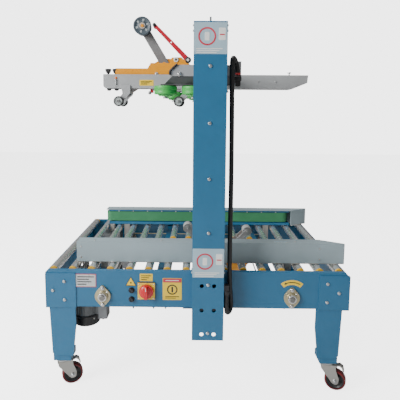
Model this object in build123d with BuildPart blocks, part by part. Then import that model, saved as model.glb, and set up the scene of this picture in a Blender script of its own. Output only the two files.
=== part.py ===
from build123d import *
from math import atan2, cos, degrees, pi, radians, sin, tan
import os

# Semi-automatic carton sealer with two side belts, in millimetres.
# +X runs against the flow (cartons enter at +X), -Y is the operator's side, +Z is up.
# The origin is on the floor, under the middle of the bed.

# ---- driving dimensions -------------------------------------------------------
BED_LENGTH = 1130.0
BED_WIDTH = 770.0
BED_TOP = 475.0            # top of the side panels
PANEL_HEIGHT = 140.0
SHEET = 3.0

ROLLER_COUNT = 16
ROLLER_PITCH = 71.5
ROLLER_FIRST_X = -542.0
ROLLER_R = 15.0
ROLLER_Z = 466.0           # roller axis
ROLLER_END = 364.0         # outer end of every roller
SPLIT_FIRST, SPLIT_LAST = 6, 11    # rollers broken by the lower tape head
SPLIT_INNER = 43.0
AXLE_R = 4.0
RUNNING_GAP = 0.05         # radial clearance of every running fit

CHAIN_Z = (376.0, 382.0)   # lift chain between the two columns
CHAIN_R = 21.5             # inside of a chain round its sprocket
CHAIN_THICK = 4.0

SLOT_HALF = 36.0           # half the free width between the two rails of a tape head
COLUMN_X = 38.5            # centre of the two columns
COLUMN_WIDTH = 114.0
COLUMN_DEPTH = 60.0
COLUMN_BOTTOM = 239.0
COLUMN_TOP = 1362.0

LIFT_SCREW_R = 8.0
WIDTH_SCREW_X = 351.0
WIDTH_SCREW_Z = 378.0
WIDTH_SCREW_R = 10.0

LEG_X = {-1: 507.0, 1: 495.0}      # centre of the outfeed and infeed legs, from the middle
CASTER_OUT = 11.0          # each caster stands this far outside its leg's centre
CASTER_Y = 345.0
CASTER_TOP = 117.0
WHEEL_R = 40.0
WHEEL_TRAIL = 32.0

BELT_FACE_Y = 250.0        # inner face of each belt, fully open
BELT_Z = (502.0, 549.0)
PULLEY_R = 23.0
BELT_THICK = 3.0
BELT_AXIS_Y = BELT_FACE_Y + BELT_THICK + PULLEY_R
DRIVE_X = -440.0
IDLE_X = 437.0
GUARD_Z = (481.5, 561.0)
GUARD_OUTER_Y = 310.0
GUARD_LEFT_X = -466.0

RAIL_Z = (1159.0, 1219.0)  # the head's rail above the carton
RAIL_LEFT_X = -410.0
RAIL_RIGHT_X = 469.0
UPPER_HEAD_X = -310.0      # rear roller of the upper tape head
LOWER_HEAD_X = -44.0       # rear roller of the lower tape head
LOWER_PLANE_Z = 481.0      # carton plane of the lower tape head
HEAD_PLATE_Y = 32.0        # outer face of a tape head's side plates
HEAD_PLATE = 3.0

PRESS_X = (-123.0, -20.0)
PRESS_Y = 292.0
PRESS_R = 42.5
PRESS_Z = (1125.0, 1156.0)
HOLD_X = (-341.0, -84.0)   # axles of the hold-down casters
HOLD_Y = 60.0
HOLD_Z = 1104.0
HOLD_R = 22.0

HALF_L = BED_LENGTH / 2
HALF_W = BED_WIDTH / 2
PANEL_BOTTOM = BED_TOP - PANEL_HEIGHT
ROLLER_XS = [ROLLER_FIRST_X + ROLLER_PITCH * i for i in range(ROLLER_COUNT)]
SPLIT_XS = ROLLER_XS[SPLIT_FIRST:SPLIT_LAST + 1]
STRIP_Y = (HALF_W - 9, HALF_W - SHEET)      # bar inside each panel that carries the axles
SIDES = (-1, 1)
CORNERS = [(sx, sy) for sx in SIDES for sy in SIDES]

os.makedirs("parts", exist_ok=True)


# ---- helpers ------------------------------------------------------------------
def block(x0, x1, y0, y1, z0, z1, mode=Mode.ADD):
    """A box between two corners, in the open part."""
    with Locations(((x0 + x1) / 2, (y0 + y1) / 2, (z0 + z1) / 2)):
        Box(abs(x1 - x0), abs(y1 - y0), abs(z1 - z0), mode=mode)


def rod(start, direction, length, radius, mode=Mode.ADD):
    """A cylinder from a start point along a direction, in the open part."""
    with Locations(Plane(origin=start, z_dir=direction)):
        Cylinder(radius, length, align=(Align.CENTER, Align.CENTER, Align.MIN), mode=mode)


def ring(start, direction, length, radius, bore):
    """A disc or tube with a bore, as a separate solid of the open part."""
    plane = Plane(origin=start, z_dir=direction)
    with BuildSketch(plane) as face:
        Circle(radius)
        Circle(bore, mode=Mode.SUBTRACT)
    extrude(face.sketch, amount=length)


def plate(plane, points, thickness, both=False, mode=Mode.ADD):
    """A flat plate with a polygon outline on the given plane."""
    with BuildSketch(plane) as face:
        with BuildLine():
            Polyline(*points, close=True)
        make_face()
    extrude(face.sketch, amount=thickness, both=both, mode=mode)


def along_y(y):
    """The XZ plane at a given y, seen from -Y: local x is +X, local y is +Z."""
    return Plane(origin=(0, y, 0), x_dir=(1, 0, 0), z_dir=(0, -1, 0))


def write(part, name):
    """Label a finished sub-part and write its STEP file."""
    part.part.label = name
    export_step(part.part, f"parts/{name}.step")


# ---- bed frame: two side panels, two end plates and the rails of the lower head ----
INFEED_CHAMFER = 17.0
OUTFEED_CHAMFER = 8.0
FLANGE = 18.0
STRIP_Z = (447.0, 471.0)
RAIL_X = (-158.0, 292.0)
RAIL_LOW, RAIL_HIGH = 385.0, 462.0
CROSS_Z = (412.0, 442.0)
SWITCH = (-188.0, 400.0)   # centre of the power switch on the front panel
BUTTON_X = -244.0
BUTTON_ZS = {"start_button": 401.0, "stop_button": 366.0}

with BuildPart() as bed_frame:
    for side in SIDES:
        # folded side panel with its top flange and the axle strip
        outer, inner, lip = side * HALF_W, side * STRIP_Y[1], side * (HALF_W - FLANGE)
        strip = side * STRIP_Y[0]
        plate(
            Plane.YZ.offset(-HALF_L),
            [
                (outer, PANEL_BOTTOM), (outer, BED_TOP), (lip, BED_TOP),
                (lip, STRIP_Z[1]), (strip, STRIP_Z[1]), (strip, STRIP_Z[0]),
                (inner, STRIP_Z[0]), (inner, PANEL_BOTTOM),
            ],
            BED_LENGTH,
        )
        block(-440, 440, inner, lip, PANEL_BOTTOM, PANEL_BOTTOM + SHEET)
        # the rail of the lower tape head and its two cross members
        block(*RAIL_X, side * SLOT_HALF, side * (SLOT_HALF + SHEET), RAIL_LOW, RAIL_HIGH)
        for x0, x1 in ((RAIL_X[0], RAIL_X[0] + 28), (RAIL_X[1] - 30, RAIL_X[1])):
            block(x0, x1, side * (SLOT_HALF + SHEET), inner, *CROSS_Z)
    # end plates
    for x in (-HALF_L, HALF_L - 4):
        block(x, x + 4, -STRIP_Y[1], STRIP_Y[1], PANEL_BOTTOM + 8, BED_TOP - 7)
    # cut corners of the side panels
    for x, cut in ((HALF_L, -INFEED_CHAMFER), (-HALF_L, OUTFEED_CHAMFER)):
        plate(
            Plane.XZ, [(x, BED_TOP), (x + cut, BED_TOP), (x, BED_TOP - abs(cut))],
            HALF_W + 1, both=True, mode=Mode.SUBTRACT,
        )
    # holes for the roller axles, the width screws, the lift chain and the controls
    for x in ROLLER_XS:
        for side in SIDES:
            rod((x, side * (STRIP_Y[0] - 1), ROLLER_Z), (0, side, 0), 7, AXLE_R + 0.1, Mode.SUBTRACT)
    for x in SPLIT_XS:
        rod((x, -SLOT_HALF - 4, ROLLER_Z), (0, 1, 0), 2 * SLOT_HALF + 8, AXLE_R + 0.1, Mode.SUBTRACT)
    for x in (-WIDTH_SCREW_X, WIDTH_SCREW_X):
        rod((x, -HALF_W - 1, WIDTH_SCREW_Z), (0, 1, 0), BED_WIDTH + 2, 14, Mode.SUBTRACT)
    for side in SIDES:
        block(COLUMN_X - 34, COLUMN_X + 34, side * (HALF_W - SHEET - 1), side * (HALF_W + 1),
              CHAIN_Z[0] - 4, CHAIN_Z[1] + 4, Mode.SUBTRACT)
    rod((SWITCH[0], -HALF_W - 1, SWITCH[1]), (0, 1, 0), 5, 13, Mode.SUBTRACT)
    for z in BUTTON_ZS.values():
        rod((BUTTON_X, -HALF_W - 1, z), (0, 1, 0), 5, 6, Mode.SUBTRACT)
write(bed_frame, "bed_frame")

# ---- legs: a bolted gusset, a tapered folded plate and a foot block each ------------
LEG_BOTTOM = 138.0
GUSSET = (451.0, 565.0)
GUSSET_Z = (331.0, 465.0)
PIVOT_R = 6.0              # kingpin of each caster

with BuildPart() as legs:
    for sx, sy in CORNERS:
        out = sy * HALF_W
        middle = sx * LEG_X[sx]
        face = Plane(origin=(0, out, 0), x_dir=(sx, 0, 0), z_dir=(0, -sx, 0))
        leg_face = Plane(origin=(middle, out, 0), x_dir=(sx, 0, 0), z_dir=(0, -sx, 0))
        inward = sx * sy       # extrusion sign that points into the bed
        gusset = [(GUSSET[0], GUSSET_Z[0]), (GUSSET[1], GUSSET_Z[0]),
                  (GUSSET[1], GUSSET_Z[1] - 4), (GUSSET[1] - 4, GUSSET_Z[1]),
                  (GUSSET[0] + 4, GUSSET_Z[1]), (GUSSET[0], GUSSET_Z[1] - 4)]
        outline = [(46, 334), (39, 150), (30, LEG_BOTTOM), (-38, LEG_BOTTOM),
                   (-41, 150), (-53, 260), (-52, 334)]
        plate(face, gusset, -inward * SHEET)
        plate(leg_face, outline, inward * 5)
        plate(leg_face, [(46, 334), (39, 150), (34, 150), (41, 334)], inward * 72)
        # doubler behind the panel, inside the bed
        inner = Plane(origin=(middle, sy * (HALF_W - SHEET - 0.1), 0), x_dir=(sx, 0, 0),
                      z_dir=(0, -sx, 0))
        plate(inner, [(-46, 322), (41, 322), (41, 440), (-46, 440)], inward * 4)
        # foot block with the bore of the kingpin
        block(middle - sx * 29, middle + sx * 37, sy * (HALF_W - 3), sy * (HALF_W - 73), CASTER_TOP,
              LEG_BOTTOM + 3)
        rod((middle + sx * CASTER_OUT, sy * CASTER_Y, CASTER_TOP - 1), (0, 0, 1), 30,
            PIVOT_R + RUNNING_GAP, Mode.SUBTRACT)
write(legs, "legs")

# ---- columns: folded channels closed at the front, slotted towards the bed ----------
SLOT_WIDTH = 56.0
SLOT_Z = (700.0, 1240.0)
COLUMN_HOLES = [(COLUMN_X + dx, z) for dx in (-22, 22) for z in (444, 353, 262)]

with BuildPart() as columns:
    for side in SIDES:
        y0, y1 = side * HALF_W, side * (HALF_W + COLUMN_DEPTH)
        x0, x1 = COLUMN_X - COLUMN_WIDTH / 2, COLUMN_X + COLUMN_WIDTH / 2
        block(x0, x1, y0, y1, COLUMN_BOTTOM, COLUMN_TOP)
        block(x0 + SHEET, x1 - SHEET, y0 + side * SHEET, y1 - side * SHEET,
              COLUMN_BOTTOM - 1, COLUMN_TOP - SHEET, Mode.SUBTRACT)
        block(COLUMN_X - SLOT_WIDTH / 2, COLUMN_X + SLOT_WIDTH / 2,
              y0 - side, y0 + side * (SHEET + 1), *SLOT_Z, Mode.SUBTRACT)
        block(COLUMN_X - 34, COLUMN_X + 34, y0 - side, y0 + side * (SHEET + 1),
              CHAIN_Z[0] - 4, CHAIN_Z[1] + 4, Mode.SUBTRACT)
        rod((COLUMN_X, side * (HALF_W + COLUMN_DEPTH / 2), COLUMN_TOP - 5), (0, 0, 1), 10, 5,
            Mode.SUBTRACT)
        for x, z in COLUMN_HOLES:
            rod((x, y1 - side * (SHEET + 1), z), (0, side, 0), SHEET + 2, 7.5, Mode.SUBTRACT)
write(columns, "columns")

# ---- roller axles and the dome-headed bolts ----------------------------------------
with BuildPart() as dome:
    Cylinder(6.2, 4.2, align=(Align.CENTER, Align.CENTER, Align.MIN))
    fillet(dome.edges().sort_by(Axis.Z)[-1], 3.2)
with BuildPart() as small_dome:
    Cylinder(4, 3, align=(Align.CENTER, Align.CENTER, Align.MIN))
    fillet(small_dome.edges().sort_by(Axis.Z)[-1], 2)

with BuildPart() as roller_axles_and_bolts:
    for x in ROLLER_XS:
        if x in SPLIT_XS:
            for side in SIDES:
                rod((x, side * SLOT_HALF, ROLLER_Z), (0, side, 0), STRIP_Y[1] - SLOT_HALF, AXLE_R)
        else:
            rod((x, -STRIP_Y[1], ROLLER_Z), (0, 1, 0), 2 * STRIP_Y[1], AXLE_R)
    for side in SIDES:
        gusset_face = side * (HALF_W + SHEET)
        column_face = side * (HALF_W + COLUMN_DEPTH)
        heads = [Plane(origin=(sx * (LEG_X[sx] + dx), gusset_face, z), z_dir=(0, side, 0))
                 for sx in SIDES for dx, z in ((-13, 433), (30, 398), (-13, 362))]
        heads += [Plane(origin=(COLUMN_X, column_face, z), z_dir=(0, side, 0))
                  for z in (1215, 1023, 830, 638, 448, 267)]
        with Locations(*heads):
            add(dome.part)
        screws = [Plane(origin=(COLUMN_X + sx * COLUMN_WIDTH / 2, side * (HALF_W + 47), z),
                        z_dir=(sx, 0, 0))
                  for sx in SIDES for z in (1350, 1332, 503, 490)]
        with Locations(*screws):
            add(small_dome.part)
write(roller_axles_and_bolts, "roller_axles_and_bolts")

# ---- bearings of the four screws, their sprocket chains and idlers -----------------
BEARING_H, BEARING_W = 81.0, 59.0
IDLER_X = (COLUMN_X, 277.0)
IDLER_Y = 330.0
LOW_BLOCK = (352.0, 370.0)
HIGH_BLOCK = (1338.0, COLUMN_TOP - SHEET)
WIDTH_CHAIN_Y = (364.0, 370.0)


def chain_loop(plane, points, height):
    """One closed chain: the outline of a thick polyline, as a thin band."""
    with BuildSketch(plane) as face:
        for radius, mode in ((CHAIN_R + CHAIN_THICK, Mode.ADD), (CHAIN_R, Mode.SUBTRACT)):
            for (ax, ay), (bx, by) in zip(points, points[1:]):
                span = ((bx - ax) ** 2 + (by - ay) ** 2) ** 0.5
                middle = ((ax + bx) / 2, (ay + by) / 2)
                turn = degrees(atan2(by - ay, bx - ax))
                with Locations(Location((*middle, 0), (0, 0, turn))):
                    SlotCenterToCenter(span, 2 * radius, mode=mode)
    extrude(face.sketch, amount=height)


with BuildPart() as bearings_and_chains:
    for x in (-WIDTH_SCREW_X, WIDTH_SCREW_X):
        for side in SIDES:
            start = (x, side * HALF_W, WIDTH_SCREW_Z)
            with BuildSketch(Plane(origin=start, x_dir=(1, 0, 0), z_dir=(0, side, 0))):
                Circle(BEARING_W / 2)
                for end in SIDES:
                    with Locations((0, end * (BEARING_H / 2 - 9))):
                        Circle(9)
                make_hull()
                Circle(WIDTH_SCREW_R + RUNNING_GAP, mode=Mode.SUBTRACT)
            extrude(amount=7)
            with BuildSketch(Plane(origin=(x, side * (HALF_W + 7), WIDTH_SCREW_Z),
                                   z_dir=(0, side, 0))):
                Circle(21)
                Circle(WIDTH_SCREW_R + RUNNING_GAP, mode=Mode.SUBTRACT)
            extrude(amount=7, taper=12)
    for side in SIDES:
        for z0, z1 in (LOW_BLOCK, HIGH_BLOCK):
            block(COLUMN_X - COLUMN_WIDTH / 2 + SHEET, COLUMN_X + COLUMN_WIDTH / 2 - SHEET,
                  side * (HALF_W + SHEET), side * (HALF_W + COLUMN_DEPTH - SHEET), z0, z1)
            rod((COLUMN_X, side * (HALF_W + COLUMN_DEPTH / 2), z0 - 1), (0, 0, 1), z1 - z0 + 2,
                LIFT_SCREW_R - 2 + RUNNING_GAP, Mode.SUBTRACT)
        # idlers of the lift chain: one under a bracket, one under the cross member
        block(COLUMN_X - 16, COLUMN_X + 16, side * (IDLER_Y - 14), side * (HALF_W - SHEET), 400, 404)
        for x, top in zip(IDLER_X, (400, CROSS_Z[0])):
            rod((x, side * IDLER_Y, CHAIN_Z[0] - 2), (0, 0, 1), top - CHAIN_Z[0] + 2, 6)
            rod((x, side * IDLER_Y, CHAIN_Z[0]), (0, 0, 1), CHAIN_Z[1] - CHAIN_Z[0], CHAIN_R - 0.3)
    lift_y = HALF_W + COLUMN_DEPTH / 2
    chain_loop(
        Plane.XY.offset(CHAIN_Z[0]),
        [(IDLER_X[0], -lift_y), (IDLER_X[0], -IDLER_Y), (IDLER_X[1], -IDLER_Y),
         (IDLER_X[1], IDLER_Y), (IDLER_X[0], IDLER_Y), (IDLER_X[0], lift_y)],
        CHAIN_Z[1] - CHAIN_Z[0],
    )
    chain_loop(
        along_y(WIDTH_CHAIN_Y[1]),
        [(-WIDTH_SCREW_X, WIDTH_SCREW_Z), (WIDTH_SCREW_X, WIDTH_SCREW_Z)],
        WIDTH_CHAIN_Y[1] - WIDTH_CHAIN_Y[0],
    )
write(bearings_and_chains, "bearings_and_chains")

# ---- electrics: switch plate and body, button bezels, junction box, cable entry ------
ENTRY = (105.5, -430.0, 424.0)     # the cable goes up into a box on the column's side
HEAD_ENTRY = (139.0, -359.0, 1172.0)   # and down into one on the head's side cover

with BuildPart() as switch_and_junction_box:
    block(SWITCH[0] - 32, SWITCH[0] + 32, -HALF_W - 6, -HALF_W, SWITCH[1] - 32, SWITCH[1] + 32)
    rod((SWITCH[0], -HALF_W, SWITCH[1]), (0, 1, 0), SHEET, 12.5)
    block(SWITCH[0] - 26, SWITCH[0] + 26, -HALF_W + SHEET, -335, SWITCH[1] - 26, SWITCH[1] + 26)
    rod((SWITCH[0], -HALF_W - 7, SWITCH[1]), (0, 1, 0), 14, 5 + RUNNING_GAP, Mode.SUBTRACT)
    for z in BUTTON_ZS.values():
        ring((BUTTON_X, -HALF_W, z), (0, -1, 0), 3, 9, 5 + RUNNING_GAP)
        block(BUTTON_X - 8, BUTTON_X + 8, -HALF_W + SHEET, -358, z - 8, z + 8)
    block(-54, 40, -HALF_W + FLANGE, -297, 322, 368)
    block(COLUMN_X + COLUMN_WIDTH / 2, ENTRY[0] + 9, ENTRY[1] - 10, ENTRY[1] + 10,
          ENTRY[2], ENTRY[2] + 20)
write(switch_and_junction_box, "switch_and_junction_box")

# ---- power switch knob and the two push buttons ------------------------------------
with BuildPart() as switch_knob:
    rod((SWITCH[0], -HALF_W - 6.5, SWITCH[1]), (0, -1, 0), 12, 27)
    chamfer(switch_knob.edges().filter_by(GeomType.CIRCLE).sort_by(Axis.Y)[0], 3)
    block(SWITCH[0] - 6, SWITCH[0] + 6, -HALF_W - 31, -HALF_W - 17, SWITCH[1] - 26, SWITCH[1] + 26)
    rod((SWITCH[0], -HALF_W - 8, SWITCH[1]), (0, 1, 0), 14, 5)
write(switch_knob, "switch_knob")

for name, z in BUTTON_ZS.items():
    with BuildPart() as button:
        rod((BUTTON_X, -HALF_W - 8, z), (0, -1, 0), 5, 8)
        fillet(button.edges().sort_by(Axis.Y)[0], 2.5)
        rod((BUTTON_X, -HALF_W - 8, z), (0, 1, 0), 8, 5)
    write(button, name)

# ---- conveyor rollers: a steel tube between two capped ends, or two short ones ------
CAP = 10.0
TUBE_WALL = 1.5
SEAM = 0.05                # keeps two pieces of one wheel or roller apart

for number, x in enumerate(ROLLER_XS, start=1):
    with BuildPart() as roller:
        if x in SPLIT_XS:
            spans = [(-ROLLER_END, -SPLIT_INNER), (SPLIT_INNER, ROLLER_END)]
        else:
            spans = [(-ROLLER_END, ROLLER_END)]
        for y0, y1 in spans:
            ring((x, y0 + CAP + SEAM, ROLLER_Z), (0, 1, 0), y1 - y0 - 2 * (CAP + SEAM), ROLLER_R,
                 ROLLER_R - TUBE_WALL)
            for start in (y0, y1 - CAP):
                ring((x, start, ROLLER_Z), (0, 1, 0), CAP, ROLLER_R, AXLE_R + RUNNING_GAP)
    write(roller, f"bed_roller_{number:02d}")

# ---- lift screws and width screws ----------------------------------------------------
for name, side in (("front_lift_screw", -1), ("rear_lift_screw", 1)):
    y = side * (HALF_W + COLUMN_DEPTH / 2)
    with BuildPart() as screw:
        shoulder = LOW_BLOCK[1] + 0.3
        rod((COLUMN_X, y, shoulder), (0, 0, 1), HIGH_BLOCK[0] - 0.3 - shoulder, LIFT_SCREW_R)
        rod((COLUMN_X, y, LOW_BLOCK[0] - 6), (0, 0, 1), 40, LIFT_SCREW_R - 2)
        rod((COLUMN_X, y, HIGH_BLOCK[0] - 10), (0, 0, 1), 30, LIFT_SCREW_R - 2)
        rod((COLUMN_X, y, HIGH_BLOCK[1] - 10), (0, 0, 1), 32, 3.3)
        rod((COLUMN_X, y, CHAIN_Z[0]), (0, 0, 1), CHAIN_Z[1] - CHAIN_Z[0], CHAIN_R - 0.3)
    write(screw, name)

for name, x in (("outfeed_width_screw", -WIDTH_SCREW_X), ("infeed_width_screw", WIDTH_SCREW_X)):
    with BuildPart() as screw:
        rod((x, -408, WIDTH_SCREW_Z), (0, 1, 0), 816, WIDTH_SCREW_R)
        chamfer(screw.edges().filter_by(GeomType.CIRCLE), 1.5)
        rod((x, WIDTH_CHAIN_Y[0], WIDTH_SCREW_Z), (0, 1, 0), WIDTH_CHAIN_Y[1] - WIDTH_CHAIN_Y[0],
            CHAIN_R - 0.3)
    write(screw, name)

# ---- side belt units: housing with guard, belt with pulleys, and gearmotor ----------
HOUSING_TOP = (551.0, 556.0)
HOUSING_LOW = (484.0, 497.0)
NUT_TOP = 398.0
NUT_HALF = 20.0
MOTOR_R = 47.0
COWL_R = 52.0
COWL_LOW = 222.0
TUBE_R = 13.5
SHAFT_R = 6.0
NOSE_X = 480.0

for side_name, side in (("front", -1), ("rear", 1)):
    axis_y = side * BELT_AXIS_Y
    inner_y = side * (BELT_FACE_Y + 2)
    with BuildPart() as housing:
        # top and bottom channels that carry the pulleys
        block(-452, 470, inner_y, side * 304, *HOUSING_TOP)
        block(-452, 470, inner_y, side * 304, *HOUSING_LOW)
        # guard: outer wall, top sheet and the flared nose at the infeed
        block(GUARD_LEFT_X, HALF_L, side * 307, side * GUARD_OUTER_Y, *GUARD_Z)
        guard_top = [(GUARD_LEFT_X, inner_y), (NOSE_X, inner_y), (HALF_L, side * 302),
                     (HALF_L, side * GUARD_OUTER_Y), (GUARD_LEFT_X, side * GUARD_OUTER_Y)]
        plate(Plane.XY.offset(GUARD_Z[1] - SHEET), guard_top, SHEET)
        plate(Plane.XY.offset(GUARD_Z[0]),
              [(NOSE_X, inner_y), (HALF_L, side * 302), (HALF_L, side * 305),
               (NOSE_X - 2, inner_y + side * 4)], GUARD_Z[1] - GUARD_Z[0])
        block(HALF_L - 3, HALF_L, side * 302, side * GUARD_OUTER_Y, *GUARD_Z)
        # spacers between the channels, and the backing bar behind the working strand
        block(-400, 400, side * 262, side * 268, 497, 551)
        for x in (-300, 0, 300):
            block(x - 12, x + 12, side * 268, side * 296, 497, 551)
        for x in (-452, 464):
            block(x, x + 6, side * 304.5, side * 307.5, 490, 556)
        block(-452, 470, side * 303, side * 308, 484, 490)
        block(-452, 470, side * 303, side * 308, 551, 556)
        block(-452, 470, side * 290, side * 304, 556, 559)
        # nuts on the two width screws
        for x, bx in ((-WIDTH_SCREW_X, -363), (WIDTH_SCREW_X, 352)):
            block(bx - 14, bx + 14, axis_y - 18, axis_y + 18, NUT_TOP - 4, HOUSING_LOW[0] + 2)
            block(x - NUT_HALF, x + NUT_HALF, axis_y - 20, axis_y + 20,
                  WIDTH_SCREW_Z - NUT_HALF, NUT_TOP)
            rod((x, axis_y - 30, WIDTH_SCREW_Z), (0, 1, 0), 60, WIDTH_SCREW_R + RUNNING_GAP,
                Mode.SUBTRACT)
        # bores for the drive shaft and the idler pin
        rod((DRIVE_X, axis_y, HOUSING_LOW[0] - 1), (0, 0, 1), 16, TUBE_R + 1, Mode.SUBTRACT)
        rod((IDLE_X, axis_y, HOUSING_LOW[1] - 1), (0, 0, 1), HOUSING_TOP[0] - HOUSING_LOW[1] + 2, 6)
    write(housing, f"{side_name}_belt_housing")

    with BuildPart() as belt:
        # the belt loop round two crowned pulleys
        span = IDLE_X - DRIVE_X
        middle = (DRIVE_X + IDLE_X) / 2
        with BuildSketch(Plane(origin=(middle, axis_y, BELT_Z[0]), x_dir=(1, 0, 0),
                               z_dir=(0, 0, 1))):
            SlotCenterToCenter(span, 2 * (PULLEY_R + BELT_THICK))
            SlotCenterToCenter(span, 2 * PULLEY_R, mode=Mode.SUBTRACT)
        extrude(amount=BELT_Z[1] - BELT_Z[0])
        for x, bore in ((DRIVE_X, SHAFT_R), (IDLE_X, 6)):
            ring((x, axis_y, BELT_Z[0] + 1), (0, 0, 1), BELT_Z[1] - BELT_Z[0] - 2,
                 PULLEY_R - 0.2, bore + 0.1)
    write(belt, f"{side_name}_side_belt")

    with BuildPart() as motor:
        rod((DRIVE_X, axis_y, 262), (0, 0, 1), 112, MOTOR_R)
        for turn in range(0, 360, 12):
            with Locations(Plane(origin=(DRIVE_X, axis_y, 268),
                                 x_dir=(cos(radians(turn)), sin(radians(turn)), 0),
                                 z_dir=(0, 0, 1))):
                with Locations((MOTOR_R, 0, 45)):
                    Box(5, 2.4, 90)
        rod((DRIVE_X, axis_y, COWL_LOW), (0, 0, 1), 264 - COWL_LOW, COWL_R)
        fillet(motor.edges().filter_by(GeomType.CIRCLE).sort_by(Axis.Z)[0], 10)
        block(DRIVE_X - 44, DRIVE_X + 44, axis_y - 44, axis_y + 44, 370, 438)
        block(-400, -356, axis_y - 26, axis_y + 26, 245, 340)
        rod((DRIVE_X, axis_y, 430), (0, 0, 1), HOUSING_LOW[1] - 430, TUBE_R)
        rod((DRIVE_X, axis_y, 490), (0, 0, 1), 58, SHAFT_R)
    write(motor, f"{side_name}_belt_motor")

# ---- casters: a swivelling fork with pedal, and a wheel ------------------------------
# Each caster trails its wheel at its own angle.
CASTER_TURN = {
    "front_outfeed": (-1, -1, 22.0),
    "front_infeed": (1, -1, -20.0),
    "rear_infeed": (1, 1, 202.0),
    "rear_outfeed": (-1, 1, 134.4),
}
WHEEL_HALF = 14.0

for name, (sx, sy, turn) in CASTER_TURN.items():
    heading = Vector(cos(radians(turn)), sin(radians(turn)), 0)
    pivot_x, pivot_y = sx * (LEG_X[sx] + CASTER_OUT), sy * CASTER_Y
    cheek = Plane(origin=(pivot_x, pivot_y, 0), x_dir=heading,
                  z_dir=(heading.Y, -heading.X, 0))      # local y is up
    across = cheek.z_dir
    hub = cheek.origin + heading * WHEEL_TRAIL + Vector(0, 0, WHEEL_R)
    with BuildPart() as fork:
        rod((pivot_x, pivot_y, 97), (0, 0, 1), CASTER_TOP - 97.3, 25)
        chamfer(fork.edges().filter_by(GeomType.CIRCLE).sort_by(Axis.Z)[0], 6)
        rod((pivot_x, pivot_y, 110), (0, 0, 1), 28, PIVOT_R)
        for end in SIDES:
            with BuildSketch(cheek.offset(end * (WHEEL_HALF + 4.5) - 1.5)):
                with BuildLine():
                    Polyline((-24, 103), (-20, 84), (20, 33), (44, 33), (46, 52), (34, 84), (34, 103),
                             close=True)
                make_face()
                with Locations((WHEEL_TRAIL, WHEEL_R)):
                    Circle(13)
            extrude(amount=3)
        with BuildSketch(cheek.offset(-WHEEL_HALF - 6)):
            with BuildLine():
                Polyline((-24, 97), (34, 97), (34, 103), (-24, 103), close=True)
            make_face()
        extrude(amount=2 * (WHEEL_HALF + 6))
        # brake pedal over the wheel
        with BuildSketch(cheek.offset(-11)):
            with BuildLine():
                Polyline((30, 98), (48, 104), (60, 96), (64, 80), (60, 78), (55, 92), (46, 99), (30, 93),
                         close=True)
            make_face()
        extrude(amount=22)
        rod(hub - across * (WHEEL_HALF + 8), across, 2 * WHEEL_HALF + 16, 5)
    write(fork, f"{name}_caster_fork")

    with BuildPart() as wheel:
        start = hub - across * WHEEL_HALF
        ring(start, across, 2 * WHEEL_HALF, WHEEL_R, WHEEL_R - 7)
        ring(start + across, across, 2 * WHEEL_HALF - 2, WHEEL_R - 7 - SEAM, 5 + RUNNING_GAP)
    write(wheel, f"{name}_caster_wheel")

# ---- head carriage: lift nuts, cantilever arms, press brackets and the head rail -----
ARM_Z = (1186.0, 1226.0)
COVER_X = (-103.0, 152.0)
COVER_Y = 345.0

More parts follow.
